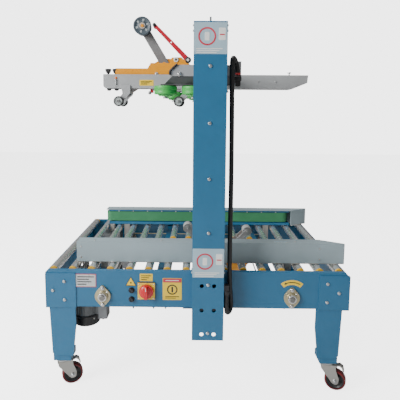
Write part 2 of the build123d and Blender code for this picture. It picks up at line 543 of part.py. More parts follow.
with BuildPart() as head_carriage:
    for side in SIDES:
        # nut in the column, neck through its slot, and the arm to the rail
        screw_y = side * (HALF_W + COLUMN_DEPTH / 2)
        block(COLUMN_X - 25, COLUMN_X + 25, side * 391, side * 438, *ARM_Z)
        block(COLUMN_X - 25, COLUMN_X + 25, side * (COVER_Y - 2), side * 395, *ARM_Z)
        block(-40, 120, side * SLOT_HALF, side * COVER_Y, *ARM_Z)
        block(-37, 117, side * (SLOT_HALF + 6), side * (COVER_Y - 3), ARM_Z[0] - 1, ARM_Z[1] - 3,
              Mode.SUBTRACT)
        rod((COLUMN_X, screw_y, ARM_Z[0] - 5), (0, 0, 1), 60, LIFT_SCREW_R + RUNNING_GAP,
            Mode.SUBTRACT)
        # side cover over the press wheels and its slanted skirt
        face = along_y(side * COVER_Y)
        plate(face, [(COVER_X[0], 1192), (COVER_X[0], 1206), (-78, 1229), (COVER_X[1], 1229),
                     (COVER_X[1], 1186), (-97, 1186)], side * SHEET)
        skirt = [(side * COVER_Y, 1187), (side * (COVER_Y - 30), 1160), (side * (COVER_Y - 34), 1160),
                 (side * (COVER_Y - 3), 1190)]
        plate(Plane.YZ.offset(-140), skirt, 140 + COVER_X[1])
        plate(Plane.XZ, [(-150, 1150), (-150, 1200), (-97, 1187), (-140, 1150)],
              -side * 400, mode=Mode.SUBTRACT)
        # horizontal plate that holds the two press wheel pins
        block(-140, COVER_X[1], side * 262, side * 318, 1158, 1162)
        block(-40, 120, side * 300, side * 304, 1160, ARM_Z[0] + 1)
        for x in PRESS_X:
            rod((x, side * PRESS_Y, 1112), (0, 0, 1), 48, 6)
            rod((x, side * PRESS_Y, 1110), (0, 0, 1), 5, 10)
        # rail: left side plate, right side plate
        rail = along_y(side * SLOT_HALF)
        plate(rail, [(RAIL_LEFT_X, RAIL_Z[0] + 9), (RAIL_LEFT_X, RAIL_Z[1]), (RAIL_RIGHT_X, RAIL_Z[1]),
                     (RAIL_RIGHT_X - 3, 1186), (399, RAIL_Z[0]), (RAIL_LEFT_X + 9, RAIL_Z[0])],
              -side * SHEET)
        # forks of the hold-down casters, on the outside of the rail
        for x in HOLD_X:
            fork_face = along_y(side * (SLOT_HALF + SHEET))
            plate(fork_face, [(x + 8, 1172), (x + 48, 1172), (x + 48, 1140), (x + 10, HOLD_Z - 8),
                              (x - 8, HOLD_Z - 8), (x - 9, HOLD_Z + 6), (x + 14, 1136)], -side * 7)
            rod((x, side * (SLOT_HALF + SHEET + 5), HOLD_Z), (0, side, 0), 30, 4)
            rod((x, side * (SLOT_HALF + SHEET + 33), HOLD_Z), (0, side, 0), 3, 7)
    # top and bottom sheets of the rail's infeed end, with the slanted tip
    block(60, RAIL_RIGHT_X, -SLOT_HALF, SLOT_HALF, RAIL_Z[1] - SHEET, RAIL_Z[1])
    block(60, 399, -SLOT_HALF, SLOT_HALF, RAIL_Z[0], RAIL_Z[0] + SHEET)
    plate(along_y(SLOT_HALF), [(399, RAIL_Z[0]), (RAIL_RIGHT_X - 3, 1186), (RAIL_RIGHT_X, RAIL_Z[1]),
                               (RAIL_RIGHT_X - 3, RAIL_Z[1]), (RAIL_RIGHT_X - 6, 1188),
                               (399, RAIL_Z[0] + SHEET)], 2 * SLOT_HALF)
    block(RAIL_LEFT_X, RAIL_LEFT_X + 3, -SLOT_HALF, SLOT_HALF, RAIL_Z[0] + 9, RAIL_Z[1])
    # box where the cable enters the head
    block(HEAD_ENTRY[0] - 9, HEAD_ENTRY[0] + 9, HEAD_ENTRY[1] - 9, -COVER_Y, HEAD_ENTRY[2] - 20,
          HEAD_ENTRY[2])
    block(HEAD_ENTRY[0] - 9, HEAD_ENTRY[0] + 9, HEAD_ENTRY[1] - 9, -COVER_Y + 30, HEAD_ENTRY[2] - 12,
          HEAD_ENTRY[2] - 6)
    # upright plate behind the cable, and the thumb screw on the rail
    block(COVER_X[1] - 15, COVER_X[1], -COVER_Y, -COVER_Y + SHEET, 1186, 1242)
    rod((395, 0, RAIL_Z[1]), (0, 0, 1), 12, 2.5)
    rod((395, 0, RAIL_Z[1] + 10), (0, 0, 1), 5, 7)
write(head_carriage, "head_carriage")

# ---- press wheels and hold-down wheels -----------------------------------------------
for row, x in (("outfeed", PRESS_X[0]), ("infeed", PRESS_X[1])):
    for side_name, side in (("front", -1), ("rear", 1)):
        with BuildPart() as press_wheel:
            ring((x, side * PRESS_Y, PRESS_Z[0]), (0, 0, 1), PRESS_Z[1] - PRESS_Z[0], PRESS_R,
                 6 + RUNNING_GAP)
            ring((x, side * PRESS_Y, 1117), (0, 0, 1), PRESS_Z[0] - 1117, 26, 6 + RUNNING_GAP)
        write(press_wheel, f"{side_name}_{row}_press_wheel")

for name, x in (("outfeed_hold_down_wheels", HOLD_X[0]), ("infeed_hold_down_wheels", HOLD_X[1])):
    with BuildPart() as hold_wheels:
        for side in SIDES:
            start = (x, side * (HOLD_Y - 11), HOLD_Z)
            ring(start, (0, side, 0), 18, HOLD_R, HOLD_R - 6)
            ring(start, (0, side, 0), 18, HOLD_R - 6 - SEAM, 4 + RUNNING_GAP)
    write(hold_wheels, name)

# ---- tape heads: the same cartridge twice, above and below the carton ----------------
# In a head's own plane, x runs against the flow from the rear roller, and y is the
# height away from the carton.
HEAD_PLANES = {
    "upper": Plane(origin=(UPPER_HEAD_X, 0, RAIL_Z[0]), x_dir=(1, 0, 0), z_dir=(0, -1, 0)),
    "lower": Plane(origin=(LOWER_HEAD_X, 0, LOWER_PLANE_Z), x_dir=(1, 0, 0), z_dir=(0, 1, 0)),
}
DRUM = (68.0, 265.0)
DRUM_R = 39.0
DRUM_ARM_FOOT = (162.0, 108.0)
FRONT_PIVOT = (185.0, 36.0)
REAR_PIVOT = (75.0, 36.0)
ROLLER_HEIGHT = {"upper": -9.0, "lower": -52.0}    # roller axes, past the carton plane
FRONT_ROLLER_X, REAR_ROLLER_X = 268.0, 0.0
LEVER_PIVOT = (265.0, 121.0)
LEVER_TIP = (121.0, 267.0)


def bar(plane, start, end, wide, narrow, offset, thickness):
    """A flat bar with two round ends, offset along the plane's normal."""
    with BuildSketch(plane.offset(offset)) as face:
        for point, radius in ((start, wide), (end, narrow)):
            with Locations(point):
                Circle(radius)
        make_hull()
    extrude(face.sketch, amount=thickness)


def bar_hole(plane, point, radius, depth=80):
    """A through hole at a point of the head's plane."""
    with BuildSketch(plane) as face:
        with Locations(point):
            Circle(radius)
    extrude(face.sketch, amount=depth, both=True, mode=Mode.SUBTRACT)


def pin(plane, point, radius, y0, y1):
    """A round bar across the head, between two offsets."""
    with BuildSketch(plane.offset(y0)) as face:
        with Locations(point):
            Circle(radius)
    extrude(face.sketch, amount=y1 - y0)


def drum_ring(plane, point, radius, bore, y0, y1):
    """A disc or roller across the head with a bore, as a solid of its own."""
    with BuildSketch(plane.offset(y0)) as face:
        with Locations(point):
            Circle(radius)
            Circle(bore, mode=Mode.SUBTRACT)
    extrude(face.sketch, amount=y1 - y0)


PLATE_OUTLINE = [(-48, 6), (-48, 86), (90, 86), (104, 109), (127, 122), (166, 134), (235, 134),
                 (279, 98), (279, 6)]
NEAR_OUTLINE = [(-48, 6), (-48, 86), (90, 86), (104, 109), (186, 109), (194, 132), (235, 134),
                (279, 98), (279, 6)]

for head, plane in HEAD_PLANES.items():
    height = ROLLER_HEIGHT[head]
    front_roller, rear_roller = (FRONT_ROLLER_X, height + 6), (REAR_ROLLER_X, height - 7)
    with BuildPart() as plates:
        near, far = HEAD_PLATE_Y - HEAD_PLATE, -HEAD_PLATE_Y
        for outline, offset in ((NEAR_OUTLINE, near), (PLATE_OUTLINE, far)):
            plate(plane.offset(offset), outline, HEAD_PLATE)
        # tie rods that also stand the head between the rails
        for point in ((-20, 45), (130, 62), (262, 45)):
            pin(plane, point, 5, -SLOT_HALF, SLOT_HALF)
        # pivots of the two arms
        for point in (FRONT_PIVOT, REAR_PIVOT):
            pin(plane, point, 6, far, HEAD_PLATE_Y)
        # guide roller on the near plate
        pin(plane, (213, 123), 9, far + HEAD_PLATE, near)
        # drum arm and its spindle, the lever's pivot
        bar(plane, DRUM_ARM_FOOT, DRUM, 19, 19, far + HEAD_PLATE, 4)
        pin(plane, DRUM, 6, far + HEAD_PLATE, 30)
        pin(plane, DRUM_ARM_FOOT, 6, far + HEAD_PLATE, near)
        pin(plane, (LEVER_PIVOT[0] - 8, LEVER_PIVOT[1] - 12), 12, far + HEAD_PLATE, far + HEAD_PLATE + 4)
        pin(plane, LEVER_PIVOT, 5, near, HEAD_PLATE_Y + 9)
        bar(plane, LEVER_PIVOT, (LEVER_PIVOT[0] - 16, LEVER_PIVOT[1] - 26), 9, 9, near, HEAD_PLATE)
    write(plates, f"{head}_head_plates")

    for arm_name, pivot, roller in (("front", FRONT_PIVOT, front_roller),
                                    ("rear", REAR_PIVOT, rear_roller)):
        with BuildPart() as arm:
            # two cheeks and the roller between them
            for offset in (24.0, -27.0):
                bar(plane, pivot, roller, 13, 10, offset, 3)
            bar_hole(plane, pivot, 6 + RUNNING_GAP)
            middle = ((pivot[0] + roller[0]) / 2, (pivot[1] + roller[1]) / 2)
            pin(plane, middle, 4, -27, 27)
            pin(plane, roller, 5, -27, 27)
            drum_ring(plane, roller, 20, 5.1, -23.5, 23.5)
        write(arm, f"{head}_{arm_name}_arm")

    with BuildPart() as drum:
        drum_ring(plane, DRUM, DRUM_R - 3, 6 + RUNNING_GAP, -24, 24)
        drum_ring(plane, DRUM, DRUM_R, 10, 24, 27)
    write(drum, f"{head}_tape_drum")

    if head == "upper":
        with BuildPart() as lever:
            bar(plane, LEVER_PIVOT, LEVER_TIP, 10.5, 7, HEAD_PLATE_Y + 1, 4)
            bar_hole(plane, LEVER_PIVOT, 5 + RUNNING_GAP)
            bar_hole(plane, (192, 195), 2.5)
            pin(plane, LEVER_TIP, 6, -24, HEAD_PLATE_Y + 1)
        write(lever, "upper_tension_lever")

# ---- head cable: from the head up and over, down beside the column, and up to its entry ----
CABLE_R = 8.5
CABLE_ROUTE = [
    HEAD_ENTRY, (139, -359, 1206), (129, -361, 1248), (115, -404, 1249), (114.5, -404.5, 1205),
    (115.5, -403, 1130), (117, -402, 1000), (118.5, -401, 790), (117, -402, 580),
    (118, -401, 450), (122.5, -399, 395), (126.5, -400, 338), (107.5, -434.5, 336),
    (106, -433, 368), (105.5, -430, 396), ENTRY,
]


def corner_radii(points):
    """The largest arc that each corner's two runs allow."""
    radii = []
    for a, b, c in zip(points, points[1:], points[2:]):
        before, after = Vector(*b) - Vector(*a), Vector(*c) - Vector(*b)
        half_turn = radians(before.get_angle(after)) / 2
        radii.append(0.45 * min(before.length, after.length) / tan(half_turn))
    return radii


CABLE_RADII = corner_radii(CABLE_ROUTE)
with BuildPart() as head_cable:
    with BuildLine() as route:
        FilletPolyline(*CABLE_ROUTE, radius=CABLE_RADII)
    first = Vector(*CABLE_ROUTE[1]) - Vector(*CABLE_ROUTE[0])
    with BuildSketch(Plane(origin=CABLE_ROUTE[0], z_dir=first)):
        Circle(CABLE_R)
    sweep(path=route.line)
write(head_cable, "head_cable")
print("cable radii", [round(radius, 1) for radius in CABLE_RADII])
CABLE_LENGTH = sum(edge.length for edge in route.edges())
print("cable length", round(CABLE_LENGTH, 1), "volume / section x length",
      round(head_cable.part.volume / (pi * CABLE_R ** 2 * CABLE_LENGTH), 4))
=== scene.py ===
from math import cos, pi, radians, sin

import bmesh
import bpy
from mathutils import Matrix, Vector


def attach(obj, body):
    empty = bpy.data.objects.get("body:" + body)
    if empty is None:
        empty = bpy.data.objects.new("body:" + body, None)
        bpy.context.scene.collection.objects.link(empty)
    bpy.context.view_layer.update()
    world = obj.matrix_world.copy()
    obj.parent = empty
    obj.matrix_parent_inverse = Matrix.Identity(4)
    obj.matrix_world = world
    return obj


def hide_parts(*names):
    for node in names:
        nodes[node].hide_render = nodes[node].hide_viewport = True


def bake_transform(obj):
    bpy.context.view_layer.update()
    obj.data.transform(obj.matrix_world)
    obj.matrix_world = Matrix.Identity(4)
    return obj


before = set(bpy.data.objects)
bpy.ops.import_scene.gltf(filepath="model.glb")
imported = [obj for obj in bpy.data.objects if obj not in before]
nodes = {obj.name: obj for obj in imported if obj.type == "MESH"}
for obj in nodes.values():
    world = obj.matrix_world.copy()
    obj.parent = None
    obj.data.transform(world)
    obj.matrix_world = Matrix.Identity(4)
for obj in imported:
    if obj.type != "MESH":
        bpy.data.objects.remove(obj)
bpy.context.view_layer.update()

# Camera: it stands in front of the operator's side, a little above the middle of
# the machine, and looks slightly down.
camera_data = bpy.data.cameras.new("camera")
camera_data.lens = 39.12
camera_data.sensor_width = 36.0
camera_data.shift_x = 0.019
camera_data.shift_y = -0.094
camera = bpy.data.objects.new("camera", camera_data)
camera.location = (-0.005, -1.9329, 1.065)
camera.rotation_mode = "XYZ"
camera.rotation_euler = (radians(90 - 6.77), radians(-0.37), radians(0.62))
bpy.context.scene.collection.objects.link(camera)
bpy.context.scene.camera = camera

# Head cable: a black rubber-sheathed lead that leaves the head's cable box, turns over
# beside the front column and hangs down to an entry at bed height, where it doubles back up.
# The real lead has enough slack to follow the head as it is wound down; the tube drawn here is one fixed
# shape that rides on no body.
CABLE_DIAMETER = 0.017
CABLE_ROUTE = [(0.139, -0.359, 1.172), (0.139, -0.359, 1.206), (0.129, -0.361, 1.248),
    (0.115, -0.404, 1.249), (0.1145, -0.4045, 1.205), (0.1155, -0.403, 1.130), (0.117, -0.402, 1.000),
    (0.1185, -0.401, 0.790), (0.117, -0.402, 0.580), (0.118, -0.401, 0.450), (0.1225, -0.399, 0.395),
    (0.1265, -0.400, 0.338), (0.1075, -0.4345, 0.336), (0.106, -0.433, 0.368), (0.1055, -0.430, 0.396),
    (0.1055, -0.430, 0.424)]


def add_piece(name, mesh, body, material=None):
    """Link a finished mesh as a piece; it rides on the body, if one is given."""
    piece = bpy.data.objects.new(name, mesh)
    bpy.context.scene.collection.objects.link(piece)
    if material:
        mesh.materials.append(material)
    if body:
        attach(piece, body)
    return piece


def smooth_route(points):
    """The line of an open NURBS spline through the given control points."""
    curve = bpy.data.curves.new("route", "CURVE")
    curve.dimensions = "3D"
    curve.resolution_u = 10
    spline = curve.splines.new("NURBS")
    spline.points.add(len(points) - 1)
    for control, point in zip(spline.points, points):
        control.co = (*point, 1.0)
    spline.order_u = 3
    spline.use_endpoint_u = True
    holder = bpy.data.objects.new("route", curve)
    line = bpy.data.meshes.new_from_object(holder)
    path = [vertex.co.copy() for vertex in line.vertices]
    bpy.data.objects.remove(holder)
    return path


def tube(name, path, radius, sides=16, ripple=0.0):
    """A round tube mesh swept along a path, with its ends closed."""
    mesh = bpy.data.meshes.new(name)
    shape = bmesh.new()
    rings = []
    side = None
    for i, point in enumerate(path):
        ahead = path[min(i + 1, len(path) - 1)] - path[max(i - 1, 0)]
        ahead.normalize()
        side = (side or ahead.orthogonal())
        side = (side - ahead * side.dot(ahead)).normalized()
        up = ahead.cross(side)
        girth = radius * (1 + ripple * (i % 2))
        rings.append([
            shape.verts.new(point + (side * cos(turn) + up * sin(turn)) * girth)
            for turn in (2 * pi * k / sides for k in range(sides))
        ])
    for near, far in zip(rings, rings[1:]):
        for k in range(sides):
            shape.faces.new((near[k], near[(k + 1) % sides], far[(k + 1) % sides], far[k]))
    shape.faces.new(list(reversed(rings[0])))
    shape.faces.new(rings[-1])
    for face in shape.faces:
        face.smooth = len(face.verts) == 4
    shape.to_mesh(mesh)
    shape.free()
    return mesh


def shader(name, color, roughness, metallic=0.0, coat=0.0):
    """A Principled material; returns it with its node tree and its shader node."""
    material = bpy.data.materials.new(name)
    material.use_nodes = True
    tree = material.node_tree
    principled = tree.nodes["Principled BSDF"]
    principled.inputs["Base Color"].default_value = (*color, 1)
    principled.inputs["Roughness"].default_value = roughness
    principled.inputs["Metallic"].default_value = metallic
    principled.inputs["Coat Weight"].default_value = coat
    principled.inputs["Coat Roughness"].default_value = 0.25
    return material, tree, principled


def new_group(name, inputs, outputs):
    """An empty shader node group with its sockets."""
    group = bpy.data.node_groups.new(name, "ShaderNodeTree")
    for label, kind, value in inputs:
        socket = group.interface.new_socket(label, in_out="INPUT", socket_type="NodeSocket" + kind)
        socket.default_value = value
    for label, kind in outputs:
        group.interface.new_socket(label, in_out="OUTPUT", socket_type="NodeSocket" + kind)
    return group, group.nodes.new("NodeGroupInput"), group.nodes.new("NodeGroupOutput")


def node(tree, kind, *feeds, **settings):
    """A node with its properties and inputs set. Feeds fill its inputs in order, and a feed or
    a setting that is a socket is linked."""
    made = tree.nodes.new("ShaderNode" + kind)
    fills = list(zip(made.inputs, feeds))
    for key, value in settings.items():
        if key in made.bl_rna.properties:
            setattr(made, key, value)
    for key, value in settings.items():
        if key not in made.bl_rna.properties:
            fills.append((made.inputs[key.replace("_", " ")], value))
    for socket, value in fills:
        if isinstance(value, bpy.types.NodeSocket):
            tree.links.new(value, socket)
        else:
            socket.default_value = value
    return made


def math_node(tree, operation, first, second, **settings):
    """The value of a math node."""
    return node(tree, "Math", first, second, operation=operation, **settings).outputs[0]


def ramp(tree, value, source, result):
    """A value mapped from the source pair to the result pair, and held at its ends."""
    return node(tree, "MapRange", Value=value, From_Min=source[0], From_Max=source[1],
                To_Min=result[0], To_Max=result[1]).outputs["Result"]


def object_place(tree):
    """Coordinates that stay with the piece."""
    return node(tree, "TexCoord").outputs["Object"]


def surface_group():
    """Wear and grain shared by every hard finish: a soft mottle, a fine grain bump, patchy gloss
    and lighter edges where the finish has rubbed."""
    group, given, made = new_group(
        "surface_wear",
        [("Color", "Color", (0.5, 0.5, 0.5, 1)),
         ("Edge Color", "Color", (0.6, 0.6, 0.6, 1)),
         ("Roughness", "Float", 0.4), ("Grain Scale", "Float", 900.0),
         ("Grain", "Float", 0.1), ("Mottle", "Float", 0.06),
         ("Edge Radius", "Float", 0.0015), ("Edge Wear", "Float", 0.5)],
        [("Color", "Color"), ("Roughness", "Float"),
         ("Normal", "Vector")],
    )
    given, made = given.outputs, made.inputs
    link = group.links.new
    place = object_place(group)
    cloud = node(group, "TexNoise", Vector=place, Scale=7.0, Detail=5.0, Roughness=0.6)
    grain = node(group, "TexNoise", Vector=place, Scale=given["Grain Scale"], Detail=2.0)
    rub = node(group, "TexNoise", Vector=place, Scale=60.0, Detail=4.0, Roughness=0.7)
    soft = node(group, "Bevel", samples=4, Radius=given["Edge Radius"]).outputs["Normal"]
    sharp = node(group, "NewGeometry").outputs["Normal"]
    dot = node(group, "VectorMath", soft, sharp, operation="DOT_PRODUCT")
    edge = ramp(group, dot.outputs["Value"], (0.995, 0.86), (0, 1))
    patch = ramp(group, rub.outputs["Fac"], (0.46, 0.62), (0, 1))
    worn = math_node(group, "MULTIPLY", edge, patch)
    amount = math_node(group, "MULTIPLY", worn, given["Edge Wear"])
    shade = ramp(group, cloud.outputs["Fac"], (0.3, 0.7),
                 (math_node(group, "SUBTRACT", 1.0, given["Mottle"]),
                  math_node(group, "ADD", 1.0, given["Mottle"])))
    tint = node(group, "VectorMath", given["Color"], operation="SCALE", Scale=shade)
    mixed = node(group, "Mix", data_type="RGBA", Factor=amount,
                 A=tint.outputs["Vector"], B=given["Edge Color"])
    link(mixed.outputs["Result"], made["Color"])
    gloss = ramp(group, rub.outputs["Fac"], (0.3, 0.7), (-0.05, 0.07))
    link(math_node(group, "ADD", given["Roughness"], gloss, use_clamp=True), made["Roughness"])
    bump = node(group, "Bump", Distance=0.0004, Strength=given["Grain"],
                Height=grain.outputs["Fac"], Normal=soft)
    link(bump.outputs["Normal"], made["Normal"])
    return group


SURFACE = surface_group()


def finish_with(tree, principled, held, **values):
    """Place the shared wear in a material, and feed its colour, roughness and normal."""
    wear = node(tree, "Group", node_tree=SURFACE, **held, **values)
    for label, target in (("Color", "Base Color"), ("Roughness", "Roughness"), ("Normal", "Normal")):
        tree.links.new(wear.outputs[label], principled.inputs[target])


def finish(name, color, roughness, metallic=0.0, coat=0.0, edge=None, **values):
    """A hard finish with the shared wear; a number for the edge is a grey, and values name
    inputs of the wear group."""
    material, tree, principled = shader(name, color, roughness, metallic, coat)
    if isinstance(edge, float):
        edge = (edge, edge, edge)
    held = {"Color": (*color, 1), "Edge Color": (*(edge or color), 1), "Roughness": roughness}
    finish_with(tree, principled, held, **values)
    return material


def dress(name, material):
    """Give a carried-over CAD node a better material."""
    for slot in nodes[name].material_slots:
        slot.material = material


cable_rubber = finish("cable_rubber", (0.012, 0.012, 0.013), 0.42, edge=0.05,
    Grain_Scale=1400.0, Grain=0.35, Mottle=0.15)
cable_path = smooth_route(CABLE_ROUTE)
cable = add_piece("head_cable_sheath", tube("head_cable_sheath", cable_path, CABLE_DIAMETER / 2), None,
    cable_rubber)
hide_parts("head_cable")
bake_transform(cable)

# Floor and light: a plain pale floor and large soft lamps, the brightest on the left.
floor_mesh = bpy.data.meshes.new("floor")
floor_mesh.from_pydata([(-9, -9, 0), (9, -9, 0), (9, 9, 0), (-9, 9, 0)], [], [(0, 1, 2, 3)])
floor = bpy.data.objects.new("floor", floor_mesh)
bpy.context.scene.collection.objects.link(floor)
floor_paint, tree, principled = shader("floor_paint", (0.80, 0.80, 0.80), 0.7)
principled.inputs["Emission Color"].default_value = (1, 1, 1, 1)
seen = node(tree, "LightPath")
glow = node(tree, "MapRange")
glow.inputs["To Max"].default_value = 3.4
tree.links.new(seen.outputs["Is Camera Ray"], glow.inputs["Value"])
tree.links.new(glow.outputs["Result"], principled.inputs["Emission Strength"])
floor_mesh.materials.append(floor_paint)
world = bpy.data.worlds.new("studio")
world.use_nodes = True
sky = world.node_tree
seen = node(sky, "LightPath")
strength = node(sky, "MapRange")
strength.inputs["To Min"].default_value = 0.23
strength.inputs["To Max"].default_value = 4.0
sky.links.new(seen.outputs["Is Camera Ray"], strength.inputs["Value"])
sky.links.new(strength.outputs["Result"], sky.nodes["Background"].inputs["Strength"])
sky.nodes["Background"].inputs["Color"].default_value = (1.0, 1.0, 1.0, 1)
bpy.context.scene.world = world
for lamp_name, place, target, power, size in (
    ("key", (-3.0, -2.2, 2.3), (-0.3, 0, 0.6), 215, 1.8),
    ("fill", (2.6, -3.4, 2.0), (0, 0, 0.6), 6, 3.0),
    ("top", (-0.4, 0.4, 4.0), (0, 0, 0.4), 95, 2.6),
):
    lamp_data = bpy.data.lights.new(lamp_name, "AREA")
    lamp_data.energy = power
    lamp_data.size = size
    lamp = bpy.data.objects.new(lamp_name, lamp_data)
    lamp.location = place
    lamp.rotation_euler = (Vector(target) - Vector(place)).to_track_quat("-Z", "Y").to_euler()
    bpy.context.scene.collection.objects.link(lamp)

# Bed, legs and columns: bent and bolted steel sheet, powder coated in one blue. The coat
# has a fine orange peel and is rubbed thin along the folds.
blue_paint = finish("blue_powder_coat", (0.017, 0.130, 0.255), 0.40, coat=0.12, edge=(0.08, 0.24, 0.38),
    Grain_Scale=420.0, Grain=0.18, Edge_Radius=0.0012, Edge_Wear=0.2, Mottle=0.05)
for name in ("bed_frame", "legs", "columns"):
    dress(name, blue_paint)

# Bolts and roller axles: domed socket screws in bright zinc and plain drawn axles.
bright_zinc = finish("bright_zinc", (0.52, 0.53, 0.53), 0.30, metallic=0.9, edge=0.85,
    Grain_Scale=1500.0, Grain=0.12, Edge_Radius=0.0006)
dress("roller_axles_and_bolts", bright_zinc)

# Conveyor rollers: polished steel tubes with yellow moulded end caps. The six in the middle
# are cut in two by the lower tape head and have caps at their inner ends as well.
ROLLER_END = 0.364
CAP_DEPTH = 0.010
SPLIT_INNER = 0.043
SPLIT_ROLLERS = range(7, 13)


def box_group():
    """A mask that is 1 inside a box; the box is mirrored in y about the machine's middle."""
    group, given, made = new_group("inside_box", [("Middle", "Vector", (0, 0, 0)), ("Half",
        "Vector", (1, 1, 1))], [("Mask", "Float")])
    split = node(group, "SeparateXYZ", object_place(group)).outputs
    reach = node(group, "Math", split["Y"], operation="ABSOLUTE").outputs[0]
    joined = node(group, "CombineXYZ", split["X"], reach, split["Z"]).outputs[0]
    away = node(group, "VectorMath", joined, given.outputs["Middle"], operation="SUBTRACT")
    size = node(group, "VectorMath", away.outputs["Vector"], operation="ABSOLUTE")
    over = node(group, "VectorMath", size.outputs["Vector"], given.outputs["Half"],
                operation="SUBTRACT")
    parts = node(group, "SeparateXYZ", over.outputs["Vector"]).outputs
    wide = math_node(group, "MAXIMUM", parts["X"], parts["Y"])
    worst = math_node(group, "MAXIMUM", wide, parts["Z"])
    group.links.new(math_node(group, "LESS_THAN", worst, 0.0), made.inputs["Mask"])
    return group


INSIDE_BOX = box_group()


def zoned(name, coat, zones, grain=0.12, grain_scale=900.0, edge_radius=0.001, edge_wear=0.4,
          mottle=0.07):
    """One material for a node with several finishes. A coat is (color, roughness, metallic),
    and each zone is (coat, low corner, high corner) with y counted from the middle."""
    material, tree, principled = shader(name, *coat)
    link = tree.links.new
    held = {"color": None, "roughness": None, "metallic": None}
    last = dict(zip(held, coat))
    for zone_coat, low, high in zones:
        box = node(tree, "Group", node_tree=INSIDE_BOX,
                   Middle=[(a + b) / 2 for a, b in zip(low, high)],
                   Half=[(b - a) / 2 for a, b in zip(low, high)])
        for key, value in zip(held, zone_coat):
            mix = node(tree, "Mix", data_type="RGBA" if key == "color" else "FLOAT")
            fill = (lambda v: (*v, 1)) if key == "color" else (lambda v: v)
            mix.inputs["B"].default_value = fill(value)
            link(box.outputs["Mask"], mix.inputs["Factor"])
            if held[key] is None:
                mix.inputs["A"].default_value = fill(last[key])
            else:
                link(held[key], mix.inputs["A"])
            held[key] = mix.outputs["Result"]
    lighter = node(tree, "Mix", data_type="RGBA", Factor=0.35, A=held["color"],
                   B=(0.8, 0.8, 0.8, 1))
    tree.links.new(held["metallic"], principled.inputs["Metallic"])
    given = {"Color": held["color"], "Edge Color": lighter.outputs["Result"],
             "Roughness": held["roughness"], "Grain": grain, "Grain Scale": grain_scale,
             "Edge Radius": edge_radius, "Edge Wear": edge_wear, "Mottle": mottle}
    finish_with(tree, principled, given)
    return material


FAR = 2.0
polished_tube = ((0.80, 0.79, 0.77), 0.24, 0.85)
yellow_cap = ((0.72, 0.40, 0.02), 0.45, 0.0)
outer_caps = (yellow_cap, (-FAR, ROLLER_END - CAP_DEPTH, 0), (FAR, FAR, FAR))
inner_caps = (yellow_cap, (-FAR, -FAR, 0), (FAR, SPLIT_INNER + CAP_DEPTH, FAR))
whole_finish = zoned("whole_roller", polished_tube, [outer_caps])
split_finish = zoned("split_roller", polished_tube, [outer_caps, inner_caps])
for number in range(1, 17):
    dress(f"bed_roller_{number:02d}", split_finish if number in SPLIT_ROLLERS else whole_finish)


# Flange bearings: oval cast housings, yellow passivated, each held by two hexagon nuts on the
# panel, with a greased steel inner ring, a grub screw collar and a grease nipple.
MM = 0.001
UP, DOWN, LENGTHWAYS = (0, 0, 1), (0, 0, -1), (1, 0, 0)


def turn_on(shape, profile, origin, axis, steps=40, slot=0):
    """Add a turned form: a profile of (radius, distance along the axis) in millimetres."""
    along = Vector(axis).normalized()
    across = along.orthogonal().normalized()
    other = along.cross(across)
    rings = []
    for radius, height in profile:
        base = Vector(origin) + along * (height * MM)
        if radius == 0:
            rings.append([shape.verts.new(base)])
            continue
        rings.append([
            shape.verts.new(base + (across * cos(turn) + other * sin(turn)) * (radius * MM))
            for turn in (2 * pi * k / steps for k in range(steps))
        ])
    for near, far in zip(rings, rings[1:]):
        for k in range(steps):
            corners = [near[k % len(near)], near[(k + 1) % len(near)], far[(k + 1) % len(far)],
                far[k % len(far)]]
            corners = list(dict.fromkeys(corners))
            if len(corners) > 2:
                face = shape.faces.new(corners)
                face.material_index = slot
                face.smooth = True


def prism_on(shape, outline, origin, across, out, thickness, bevel=0.0, slot=0):
    """Add a flat prism: an outline in the plane of `across` and `out` x `across`, raised along out."""
    out = Vector(out).normalized()
    across = Vector(across).normalized()
    up = out.cross(across)
    base = [Vector(origin) + across * x + up * y for x, y in outline]
    low = [shape.verts.new(point) for point in base]
    high = [shape.verts.new(point + out * thickness) for point in base]
    faces = [shape.faces.new(list(reversed(low))), shape.faces.new(high)]
    count = len(low)
    for k in range(count):
        faces.append(shape.faces.new((low[k], low[(k + 1) % count], high[(k + 1) % count], high[k])))
    for face in faces:
        face.material_index = slot
    if bevel:
        rim = [edge for edge in faces[1].edges]
        made = bmesh.ops.bevel(shape, geom=rim, offset=bevel, segments=2, affect="EDGES", profile=0.5)
        for face in made["faces"]:
            face.material_index = slot
            face.smooth = True


def box_on(shape, low, high, bevel=0.001, slot=0):
    """Add a box between two corners, with all its edges rounded."""
    made = bmesh.ops.create_cube(shape, size=1.0)
    size = Vector(high) - Vector(low)
    middle = (Vector(high) + Vector(low)) / 2
    for vertex in made["verts"]:
        vertex.co = Vector([vertex.co[k] * size[k] for k in range(3)]) + middle
    faces = list({face for vertex in made["verts"] for face in vertex.link_faces})
    edges = list({edge for face in faces for edge in face.edges})
    rounded = bmesh.ops.bevel(shape, geom=edges, offset=bevel, segments=2, affect="EDGES", profile=0.5)
    for face in faces + rounded["faces"]:
        if face.is_valid:
            face.material_index = slot


def polygon(count, radius, turn=0.0):
    """The corners of a regular polygon."""
    return [(radius * cos(turn + 2 * pi * k / count),
        radius * sin(turn + 2 * pi * k / count)) for k in range(count)]


def make(shape, name, body, materials):
    """Close a mesh, give it its materials and let it ride on a body."""
    bmesh.ops.recalc_face_normals(shape, faces=shape.faces)
    mesh = bpy.data.meshes.new(name)
    shape.to_mesh(mesh)
    shape.free()
    for material in materials:
        mesh.materials.append(material)
    return add_piece(name, mesh, body)


